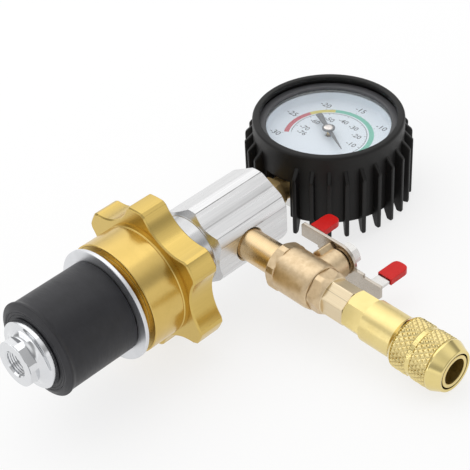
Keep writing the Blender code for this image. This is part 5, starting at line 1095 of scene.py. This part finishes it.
def make_needle():
    place = DIAL @ Matrix.Rotation(NEEDLE_REST, 4, "Z")
    root = 0.0010
    tail = NEEDLE_TAIL_WIDTH / 2
    outline = rounded([
        (-NEEDLE_TAIL, -tail, 0.0012), (-NEEDLE_HUB_RADIUS - 0.001, -root), (NEEDLE_HUB_RADIUS, -root),
        (NEEDLE_LENGTH, -0.00018, 0.0001), (NEEDLE_LENGTH, 0.00018, 0.0001),
        (NEEDLE_HUB_RADIUS, root), (-NEEDLE_HUB_RADIUS - 0.001, root), (-NEEDLE_TAIL, tail, 0.0012)],
        0.0004, closed=True)
    needle = prism("pointer", outline, NEEDLE_BOTTOM, NEEDLE_TOP, place)
    bevel(needle, 0.00008, 40, 1)
    dress(needle, "needle", NEEDLE_PAINT, "needle", slot="needle_paint")
    base_top = NEEDLE_TOP + 0.0007
    base = lathe("pointer_base", rounded([
        (NEEDLE_TOP + 0.0001, 0), (NEEDLE_TOP + 0.0001, NEEDLE_HUB_RADIUS, 0.0001),
        (base_top, NEEDLE_HUB_RADIUS, 0.0003), (base_top, 0)]), place, ROUND_SMALL)
    dress(base, "needle", NEEDLE_PAINT, slot="needle_paint")
    dome = lathe("pointer_dome", rounded([
        (base_top - 0.0001, 0), (base_top - 0.0001, NEEDLE_DOME_RADIUS, 0),
        (base_top + 0.0002, NEEDLE_DOME_RADIUS, 0.0002),
        (NEEDLE_HUB_TOP, NEEDLE_DOME_RADIUS * 0.6, 0.0006), (NEEDLE_HUB_TOP, 0)]),
        place, ROUND_SMALL)
    dress(dome, "needle", DOME, "needle_hub", slot="steel_plated")


# Valve
def make_valve():
    nipple = ring("nipple", NIPPLE_START, NIPPLE_END, NIPPLE_BORE_RADIUS, NIPPLE_RADIUS, VALVE,
                  0.0004, ROUND_MEDIUM)
    dress(nipple, "root", BRIGHT_BRASS, "inlet_nipple", slot="brass_polished")
    casting = lathe("valve_casting", rounded([
        (COLLAR_END - 0.0012, 0),
        (COLLAR_END - 0.0012, BARREL_RADIUS - 0.0004, 0),
        (COLLAR_END + 0.0006, BARREL_RADIUS, 0.0008),
        (BARREL_END - 0.0022, BARREL_RADIUS, 0.0010),
        (BARREL_END, BARREL_NOSE_RADIUS, 0.0005),
        (BARREL_END, 0)]), VALVE, ROUND_MEDIUM)
    bonnet = lathe("bonnet_shape", rounded([
        (0, 0), (0, BONNET_RADIUS, 0), (BONNET_SHOULDER, BONNET_RADIUS, SOFT_EDGE),
        (BONNET_SHOULDER, GLAND_RADIUS, 0), (BONNET_TOP, GLAND_RADIUS, SOFT_EDGE),
        (BONNET_TOP, 0)]), HANDLE, ROUND_MEDIUM)
    join(casting, bonnet)
    lug_place = HANDLE @ Matrix.Rotation(LUG_DIRECTION, 4, "Z")
    lug = block("lug_shape", (BONNET_RADIUS / 2, -LUG_WIDTH / 2, BONNET_TOP - LUG_HEIGHT),
                (LUG_REACH, LUG_WIDTH / 2, BONNET_TOP - 0.0004), lug_place)
    bevel(lug, 0.0006, 30, 3)
    join(casting, lug)
    collar = lathe("collar_shape", rounded([
        (COLLAR_START, 0),
        (COLLAR_START, COLLAR_LIP_RADIUS, 0.0002),
        (COLLAR_CONE_END, COLLAR_RADIUS, 0.0006),
        (COLLAR_END, COLLAR_RADIUS, 0.0005),
        (COLLAR_END, 0)]), VALVE, ROUND_MEDIUM)
    flats = prism("collar_hex_shape", hexagon(COLLAR_FLAT_RADIUS, COLLAR_PHASE),
                  COLLAR_START - OVERRUN, COLLAR_END + OVERRUN, VALVE)
    join(collar, flats, "INTERSECT")
    bevel(collar, 0.0003, 18, 3)
    join(casting, collar)
    hollow = lathe("hollow_shape", [
        (COLLAR_START - OVERRUN, 0),
        (COLLAR_START - OVERRUN, NIPPLE_RADIUS + FIT),
        (NIPPLE_END + FIT, NIPPLE_RADIUS + FIT),
        (NIPPLE_END + FIT, NIPPLE_BORE_RADIUS),
        (BALL_CENTRE - 0.0061, NIPPLE_BORE_RADIUS),
        (BALL_CENTRE - 0.0061, CAVITY_RADIUS),
        (BARREL_END + OVERRUN, CAVITY_RADIUS),
        (BARREL_END + OVERRUN, 0)], VALVE, ROUND_SMALL)
    join(casting, hollow, "DIFFERENCE")
    passage = lathe("passage_shape", [
        (0, 0), (0, 0.0043), (BONNET_TOP - 0.003, 0.0043), (BONNET_TOP - 0.003, SHAFT_RADIUS + FIT),
        (BONNET_TOP + OVERRUN, SHAFT_RADIUS + FIT), (BONNET_TOP + OVERRUN, 0)], HANDLE, ROUND_SMALL)
    join(casting, passage, "DIFFERENCE")
    casting.data.shade_smooth()
    casting.data.set_sharp_from_angle(angle=math.radians(35))
    dress(casting, "root", CAST_BRASS, "valve_body", slot="brass_cast")

    cap = lathe("valve_outlet", rounded([
        (BALL_CENTRE + 0.0061, 0),
        (BALL_CENTRE + 0.0061, CAVITY_RADIUS - FIT, 0),
        (END_HEX_START, CAVITY_RADIUS - FIT, 0),
        (END_HEX_END - 0.0005, CAVITY_RADIUS - 0.0008, 0),
        (END_HEX_END - 0.0005, OUTLET_SPIGOT_RADIUS, 0),
        (OUTLET_SPIGOT_END, OUTLET_SPIGOT_RADIUS, 0.0005),
        (OUTLET_SPIGOT_END, 0)]), VALVE, ROUND_SMALL)
    nose = lathe("nose_shape", rounded([
        (END_HEX_START, 0),
        (END_HEX_START, END_HEX_RADIUS, 0.0003),
        ((END_HEX_START + END_HEX_END) / 2 + 0.0006, END_HEX_RADIUS, 0.0005),
        (END_HEX_END, END_HEX_NOSE_RADIUS, 0.0003),
        (END_HEX_END, 0)]), VALVE, ROUND_MEDIUM)
    nose_hex = prism("nose_hex_shape", hexagon(END_HEX_FLAT_RADIUS, END_HEX_PHASE),
                     END_HEX_START - OVERRUN, END_HEX_END + OVERRUN, VALVE)
    join(nose, nose_hex, "INTERSECT")
    bevel(nose, 0.00025, 18, 2)
    join(cap, nose)
    bar = prism("outlet_bar_shape", hexagon(OUTLET_FLAT_RADIUS, OUTLET_PHASE), END_HEX_END - 0.0005,
                OUTLET_END, VALVE)
    bevel(bar, 0.0003, 25, 3)
    join(cap, bar)
    bore = lathe("outlet_bore_shape", [
        (BALL_CENTRE, 0), (BALL_CENTRE, BALL_BORE_RADIUS),
        (OUTLET_SPIGOT_END + OVERRUN, BALL_BORE_RADIUS), (OUTLET_SPIGOT_END + OVERRUN, 0)],
        VALVE, ROUND_SMALL)
    join(cap, bore, "DIFFERENCE")
    cap.data.shade_smooth()
    cap.data.set_sharp_from_angle(angle=math.radians(35))
    dress(cap, "root", (CAST_BRASS, BAR_BRASS), "valve_end_cap", slot="brass_cast")
    for face in cap.data.polygons:
        face.material_index = 1 if face.center.z > END_HEX_END - FIT else 0


def wing_outline():
    """Butterfly plate seen along its stem: a disc with two tangent wings."""
    start = math.asin(TAB_INNER / DISC_RADIUS)
    wing = [
        (0, DISC_RADIUS),
        (WING_LENGTH - WING_CORNER, DISC_RADIUS),
        (WING_LENGTH, DISC_RADIUS - WING_CORNER),
        (WING_LENGTH, WING_INNER),
        (TAB_END, WING_INNER),
        (TAB_END, TAB_INNER),
        (DISC_RADIUS * math.cos(start), TAB_INNER),
    ]
    steps = 20
    arc = [polar(DISC_RADIUS, TURN / 2 - start - (TURN / 4 - start) * step / steps)
           for step in range(1, steps)]
    return arc + wing + [(-x, -y) for x, y in arc] + [(-x, -y) for x, y in wing]


def make_handle():
    plate = prism("lever", wing_outline(), PLATE_BOTTOM, PLATE_TOP, HANDLE)
    hole = lathe("lever_hole_shape", [
        (PLATE_BOTTOM - OVERRUN, 0), (PLATE_BOTTOM - OVERRUN, SHAFT_RADIUS + FIT),
        (PLATE_TOP + OVERRUN, SHAFT_RADIUS + FIT), (PLATE_TOP + OVERRUN, 0)], HANDLE, ROUND_SMALL)
    join(plate, hole, "DIFFERENCE")
    metal = PLATE_TOP - PLATE_BOTTOM
    middle = WING_LENGTH - EAR_WIDTH / 2
    grips = []
    for side, angle in (("left", TURN / 2), ("right", 0)):
        place = HANDLE @ Matrix.Rotation(angle, 4, "Z")
        outline = rounded([
            (middle - EAR_WIDTH / 2, PLATE_BOTTOM + metal / 2, 0),
            (middle + EAR_WIDTH / 2, PLATE_BOTTOM + metal / 2, 0),
            (middle + EAR_WIDTH / 2, EAR_BARE_TOP, 0.0004),
            (middle + EAR_WIDTH / 2 - 0.0005, EAR_BARE_TOP, 0),
            (middle + EAR_WIDTH / 2 - 0.0005, EAR_TOP - 0.0014, 0.0010),
            (middle - EAR_WIDTH / 2 + 0.0005, EAR_TOP - 0.0014, 0.0010),
            (middle - EAR_WIDTH / 2 + 0.0005, EAR_BARE_TOP, 0),
            (middle - EAR_WIDTH / 2, EAR_BARE_TOP, 0.0004)], closed=True)
        near = WING_INNER
        loops = [[(x, y, z) for x, z in outline] for y in (near, near + metal)]
        ear = loft("ear_shape", loops, place)
        join(plate, ear)
        cap_outline = rounded([
            (middle - CAP_WIDTH / 2, CAP_BOTTOM, 0.0003),
            (middle + CAP_WIDTH / 2, CAP_BOTTOM, 0.0003),
            (middle + CAP_WIDTH / 2, CAP_TOP, CAP_CORNER),
            (middle - CAP_WIDTH / 2, CAP_TOP, CAP_CORNER)], steps=6, closed=True)
        centre_y = near + metal / 2
        loops = [[(x, y, z) for x, z in cap_outline]
                 for y in (centre_y - CAP_THICKNESS / 2, centre_y + CAP_THICKNESS / 2)]
        cap = loft("grip_cap_" + side, loops, place)
        bevel(cap, CAP_EDGE, 50, 5)
        pocket = block("pocket_shape",
                       (middle - EAR_WIDTH / 2 + 0.0002, near - FIT, CAP_BOTTOM - OVERRUN),
                       (middle + EAR_WIDTH / 2 - 0.0002, near + metal + FIT, EAR_TOP - 0.0011), place)
        join(cap, pocket, "DIFFERENCE")
        dress(cap, "valve", VINYL, "grip_" + side, slot="grip_vinyl")
        grips.append(cap)
    bevel(plate, 0.0003, 40, 2)
    # The plate takes the darker, warmer zinc with its painted brass reflection; the ears above it keep
    # plain zinc.
    dress(plate, "valve", (LEVER_BRASS_REFLECTION_ZINC, ZINC), "handle_plate", slot="steel_plated")
    for face in plate.data.polygons:
        face.material_index = 1 if face.center.z > PLATE_TOP + metal else 0

    nut = prism("lever_nut", hexagon(HANDLE_NUT_FLAT_RADIUS, HANDLE_NUT_PHASE),
                HANDLE_NUT_BOTTOM + HANDLE_NUT_COLLAR / 2, HANDLE_NUT_TOP, HANDLE)
    crown = HANDLE_NUT_FLAT_RADIUS / math.cos(TURN / 12)
    turned_corners = lathe("nut_crown_shape", [
        (HANDLE_NUT_BOTTOM, 0), (HANDLE_NUT_BOTTOM, crown), (HANDLE_NUT_TOP - 0.0005, crown),
        (HANDLE_NUT_TOP, crown - 0.0008), (HANDLE_NUT_TOP, 0)], HANDLE, ROUND_SMALL)
    join(nut, turned_corners, "INTERSECT")
    collar = lathe("nut_collar_shape", rounded([
        (HANDLE_NUT_BOTTOM, 0), (HANDLE_NUT_BOTTOM, HANDLE_NUT_COLLAR_RADIUS, CRISP_EDGE),
        (HANDLE_NUT_BOTTOM + HANDLE_NUT_COLLAR, HANDLE_NUT_COLLAR_RADIUS, SOFT_EDGE),
        (HANDLE_NUT_BOTTOM + HANDLE_NUT_COLLAR, 0)]), HANDLE, ROUND_SMALL)
    join(nut, collar)
    hole = lathe("nut_hole_shape", [
        (HANDLE_NUT_BOTTOM - OVERRUN, 0), (HANDLE_NUT_BOTTOM - OVERRUN, SHAFT_RADIUS + FIT),
        (HANDLE_NUT_TOP + OVERRUN, SHAFT_RADIUS + FIT), (HANDLE_NUT_TOP + OVERRUN, 0)],
        HANDLE, ROUND_SMALL)
    join(nut, hole, "DIFFERENCE")
    bevel(nut, 0.0002, 25, 2)
    dress(nut, "valve", ZINC, "handle_nut", slot="steel_plated")

    thread = [(0.0056, 0), (0.0056, SHAFT_RADIUS), (0.0076, SHAFT_RADIUS), (0.0076, 0.0040),
              (0.0094, 0.0040), (0.0094, SHAFT_RADIUS)]
    height = HANDLE_NUT_BOTTOM
    pitch = 0.0005
    while height + pitch < SHAFT_TOP - 0.0003:
        thread += [(height, SHAFT_RADIUS), (height + pitch / 2, SHAFT_RADIUS - 0.0002)]
        height += pitch
    thread += [(SHAFT_TOP - 0.0003, SHAFT_RADIUS - 0.0001), (SHAFT_TOP, SHAFT_RADIUS - 0.0004),
               (SHAFT_TOP, 0)]
    shaft = lathe("shaft", thread, HANDLE, ROUND_SMALL, 20)
    dress(shaft, "valve", BRASS, "valve_stem", slot="brass_plain")


# Coupler
def make_coupler():
    flat = COUPLER_RADIUS * math.cos(TURN / 12)
    body = lathe("coupler", rounded([
        (COUPLER_START, 0),
        (COUPLER_START, flat - 0.0004, 0),
        (COUPLER_HEX_END - 0.0005, flat - 0.0004, 0),
        (COUPLER_HEX_END - 0.0005, COUPLER_RADIUS, 0),
        (COUPLER_BARREL_END, COUPLER_RADIUS, 0.0003),
        (COUPLER_BARREL_END, 0)]), VALVE, ROUND_MEDIUM)
    flats = prism("coupler_hex_shape", hexagon(flat, COUPLER_PHASE), COUPLER_START, COUPLER_HEX_END,
                  VALVE)
    turned_corners = lathe("coupler_crown_shape", [
        (COUPLER_START, 0), (COUPLER_START, COUPLER_RADIUS - COUPLER_CHAMFER),
        (COUPLER_START + COUPLER_CHAMFER, COUPLER_RADIUS), (COUPLER_HEX_END - 0.0006, COUPLER_RADIUS),
        (COUPLER_HEX_END, COUPLER_RADIUS - 0.0008), (COUPLER_HEX_END, 0)], VALVE, ROUND_MEDIUM)
    join(flats, turned_corners, "INTERSECT")
    bevel(flats, 0.0002, 25, 2)
    join(body, flats)
    inside = lathe("coupler_inside_shape", [
        (COUPLER_START - OVERRUN, 0),
        (COUPLER_START - OVERRUN, OUTLET_SPIGOT_RADIUS + FIT),
        (OUTLET_SPIGOT_END + FIT, OUTLET_SPIGOT_RADIUS + FIT),
        (OUTLET_SPIGOT_END + FIT, 0.003),
        (CHAMBER_START, 0.003),
        (CHAMBER_START, CHAMBER_RADIUS),
        (CHAMBER_END, CHAMBER_RADIUS),
        (CHAMBER_END, TUBE_SPIGOT_RADIUS + FIT),
        (COUPLER_BARREL_END + OVERRUN, TUBE_SPIGOT_RADIUS + FIT),
        (COUPLER_BARREL_END + OVERRUN, 0)], VALVE, ROUND_SMALL)
    join(body, inside, "DIFFERENCE")
    body.data.shade_smooth()
    body.data.set_sharp_from_angle(angle=math.radians(30))
    dress(body, "root", YELLOW_BRASS, "coupler_body", slot="brass_yellow")
    tube = lathe("coupler_mouth_tube", rounded([
        (TUBE_SPIGOT_START, TUBE_SEAT_RADIUS, 0),
        (TUBE_SPIGOT_START, TUBE_SPIGOT_RADIUS, 0),
        (TUBE_SHOULDER, TUBE_SPIGOT_RADIUS, 0),
        (TUBE_SHOULDER, TUBE_RADIUS, 0),
        (TUBE_END, TUBE_RADIUS, 0.0004),
        (TUBE_END, TUBE_BORE_RADIUS, 0.0004),
        (TUBE_SPIGOT_START + 0.002, TUBE_BORE_RADIUS, 0),
        (TUBE_SPIGOT_START + 0.002, TUBE_SEAT_RADIUS, 0)], closed=True), VALVE, ROUND_SMALL)
    dress(tube, "root", YELLOW_BRASS, "coupler_tube", slot="brass_yellow")


def knurled_band(start, end):
    """Heights of one diamond knurl band."""
    steps = KNURL_STEPS_ALONG
    return [start + (end - start) * step / steps for step in range(steps + 1)]


def make_sleeve():
    """Sleeve as one grid round the axis, its two bands cut by crossed spiral grooves."""
    around = KNURLS_AROUND * KNURL_STEPS_AROUND
    stations = [
        (SLEEVE_START, SLEEVE_REAR_RADIUS - 0.0003, 0), (SLEEVE_START + 0.0002, SLEEVE_REAR_RADIUS, 0),
        (SLEEVE_CONE_END - 0.0002, SLEEVE_KNURL_RADIUS - 0.0002, 0),
    ]
    for band_start, band_end in ((SLEEVE_CONE_END, SLEEVE_REAR_BAND_END),
                                 (SLEEVE_GROOVE_END, SLEEVE_FRONT_BAND_END)):
        heights = knurled_band(band_start, band_end)
        for height in heights:
            edge = min(height - band_start, band_end - height)
            stations.append((height, SLEEVE_KNURL_RADIUS - max(0.0, 0.0003 - edge), 1))
        if band_end == SLEEVE_REAR_BAND_END:
            stations += [
                (band_end + 0.0001, SLEEVE_GROOVE_RADIUS, 0),
                (SLEEVE_GROOVE_END - 0.0001, SLEEVE_GROOVE_RADIUS, 0),
            ]
    stations += [
        (SLEEVE_FRONT_BAND_END + 0.0001, SLEEVE_RADIUS - 0.0002, 0),
        (SLEEVE_FRONT_BAND_END + 0.0003, SLEEVE_RADIUS, 0),
        (SLEEVE_RING_END - 0.0003, SLEEVE_RADIUS, 0),
        (SLEEVE_RING_END, SLEEVE_RADIUS - 0.0001, 0),
        (SLEEVE_END - 0.0004, SLEEVE_NOSE_RADIUS + 0.0001, 0),
        (SLEEVE_END - 0.0001, SLEEVE_NOSE_RADIUS - 0.0001, 0),
        (SLEEVE_END, SLEEVE_NOSE_RADIUS - 0.0003, 0),
        (SLEEVE_END, SLEEVE_MOUTH_RADIUS + 0.0002, 0),
        (SLEEVE_END - 0.0002, SLEEVE_MOUTH_RADIUS, 0),
        (SLEEVE_LAND_END, SLEEVE_MOUTH_RADIUS, 0),
        (SLEEVE_LAND_END, TUBE_RADIUS + FIT, 0),
        (SLEEVE_LAND_START, TUBE_RADIUS + FIT, 0),
        (SLEEVE_LAND_START, COUPLER_RADIUS + FIT, 0),
        (SLEEVE_START, COUPLER_RADIUS + FIT, 0),
    ]
    pitch = TURN * SLEEVE_KNURL_RADIUS / KNURLS_AROUND
    builder = bmesh.new()
    rings = []
    for height, radius, cut in stations:
        loop = []
        for index in range(around):
            share = index / around
            depth = 0.0
            if cut:
                along = height / (pitch * KNURL_STRETCH)
                first = abs((share * KNURLS_AROUND + along) % 1 - 0.5) * 2
                second = abs((share * KNURLS_AROUND - along) % 1 - 0.5) * 2
                cut_share = max(0.0, max(first, second) - KNURL_PAD_SHARE) / (1 - KNURL_PAD_SHARE)
                depth = SLEEVE_KNURL_DEPTH * cut_share
            loop.append(builder.verts.new((*polar(radius - depth, TURN * share), height)))
        rings.append(loop)
    for lower, upper in zip(rings, rings[1:] + rings[:1]):
        for index in range(around):
            after = (index + 1) % around
            builder.faces.new((lower[index], lower[after], upper[after], upper[index]))
    sleeve = finish_mesh("sleeve", builder, VALVE, 50)
    dress(sleeve, "sleeve", (KNURLED_BRASS, SMOOTH_BRASS), "coupler_sleeve", slot="brass_yellow")
    for face in sleeve.data.polygons:
        height = face.center.z
        knurled = (SLEEVE_CONE_END < height < SLEEVE_REAR_BAND_END
                   or SLEEVE_GROOVE_END < height < SLEEVE_FRONT_BAND_END)
        face.material_index = 0 if knurled else 1


def make_spring(name, node, start, end, radius, wire, curls):
    """A fine helix in the place of a packed one."""
    around = 10
    per_curl = 24
    builder = bmesh.new()
    rise = (end - start - 2 * wire) / (curls * per_curl)
    rings = []
    for index in range(curls * per_curl + 1):
        angle = TURN * index / per_curl
        out = Vector((*polar(1, angle), 0))
        middle = out * radius + Vector((0, 0, start + wire + rise * index))
        rings.append([builder.verts.new(middle + out * wire * math.cos(TURN * step / around)
                                        + Vector((0, 0, wire * math.sin(TURN * step / around))))
                      for step in range(around)])
    for lower, upper in zip(rings, rings[1:]):
        for step in range(around):
            after = (step + 1) % around
            builder.faces.new((lower[step], lower[after], upper[after], upper[step]))
    builder.faces.new(rings[0])
    builder.faces.new(rings[-1])
    helix = finish_mesh(name, builder, VALVE)
    dress(helix, "root", WIRE, node, slot="spring_steel")
    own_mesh(helix)


# Stage
def make_stage():
    builder = bmesh.new()
    bmesh.ops.create_grid(builder, x_segments=1, y_segments=1, size=3.0)
    floor = finish_mesh("floor", builder, Matrix.Identity(4))
    material = bpy.data.materials.new("pale_floor")
    material.use_nodes = True
    shader = material.node_tree.nodes["Principled BSDF"]
    shader.inputs["Base Color"].default_value = (0.93, 0.93, 0.93, 1)
    shader.inputs["Roughness"].default_value = 0.9
    shader.inputs["Specular IOR Level"].default_value = 0.1
    tree = material.node_tree
    rays = add_node(tree, "ShaderNodeLightPath").outputs
    seen = math_node(tree, "MAXIMUM", rays["Is Camera Ray"], math_node(
        tree, "MAXIMUM", rays["Is Glossy Ray"], rays["Is Transmission Ray"]))
    white = add_node(tree, "ShaderNodeEmission", Color=(1, 1, 1, 1), Strength=1.0)
    blend = add_node(tree, "ShaderNodeMixShader", _0=math_node(tree, "MULTIPLY", seen, FLOOR_GLOW))
    tree.links.new(shader.outputs[0], blend.inputs[1])
    tree.links.new(white.outputs[0], blend.inputs[2])
    tree.links.new(blend.outputs[0], tree.nodes["Material Output"].inputs["Surface"])
    floor.data.materials.append(material)
    world = bpy.data.worlds.new("studio")
    bpy.context.scene.world = world
    world.use_nodes = True
    tree = world.node_tree
    background = tree.nodes["Background"]
    way = add_node(tree, "ShaderNodeTexCoord").outputs["Generated"]
    parts = add_node(tree, "ShaderNodeSeparateXYZ", _0=way)
    x, y, z = (parts.outputs[index] for index in range(3))
    ramp = add_node(tree, "ShaderNodeFloatCurve", Value=z)
    curve = ramp.mapping.curves[0]
    for place, (height, level) in enumerate(SKY_LEVELS):
        if place < 2:
            curve.points[place].location = (height, level)
        else:
            curve.points.new(height, level)
    ramp.mapping.update()
    round_way = math_node(tree, "ARCTAN2", y, x)
    wave = math_node(tree, "SINE", math_node(
        tree, "ADD", math_node(tree, "MULTIPLY", round_way, SKY_WAVES), SKY_WAVE_PHASE))
    middle = math_node(tree, "MAXIMUM", 0.0, math_node(
        tree, "MULTIPLY", math_node(tree, "MULTIPLY", z, 4 * SKY_WAVE_SHARE),
        math_node(tree, "SUBTRACT", 1.0, z)))
    swing = math_node(tree, "ADD", 1.0, math_node(tree, "MULTIPLY", wave, middle))
    level = math_node(tree, "MULTIPLY", ramp.outputs[0], swing)
    tree.links.new(level, background.inputs["Strength"])
    background.inputs["Color"].default_value = (1.0, 1.0, 1.0, 1)
    lamps = (
        ("top_light", (-0.36, -0.44, 0.90), 1.7, 6.0),
        ("side_light", (0.85, -0.55, 0.40), 0.6, 1.2),
    )
    for name, place, size, power in lamps:
        light = bpy.data.lights.new(name, "AREA")
        light.shape = "SQUARE"
        light.size = size
        light.energy = power
        lamp = bpy.data.objects.new(name, light)
        bpy.context.scene.collection.objects.link(lamp)
        lamp.location = place
        lamp.rotation_euler = (Vector((0, 0, 0.02)) - Vector(place)).to_track_quat("-Z", "Y").to_euler()


def make_camera():
    data = bpy.data.cameras.new("camera")
    data.lens = LENS_MM
    data.sensor_width = 36
    camera = bpy.data.objects.new("camera", data)
    bpy.context.scene.collection.objects.link(camera)
    axes = Matrix((CAMERA_RIGHT, CAMERA_UP, CAMERA_BACK)).transposed().to_4x4()
    camera.matrix_world = ASSEMBLY @ Matrix.Translation(CAMERA_PLACE) @ axes
    data.clip_start = 0.01
    data.clip_end = 20
    bpy.context.scene.camera = camera


carry_nodes()
make_block()
make_knob()
make_plug_end()
make_socket()
make_boot()
make_face()
make_valve()
make_handle()
make_coupler()
make_sleeve()
make_spring("sleeve_coil", "sleeve_spring", TUBE_SHOULDER, SLEEVE_LAND_START - FIT,
            (TUBE_RADIUS + COUPLER_RADIUS + FIT) / 2, 0.00045, 5)
make_spring("poppet_coil", "poppet_spring", CHAMBER_START + FIT, 0.1007, 0.0034, 0.0004, 5)
make_stage()
make_camera()
bpy.context.scene.view_settings.view_transform = "Standard"
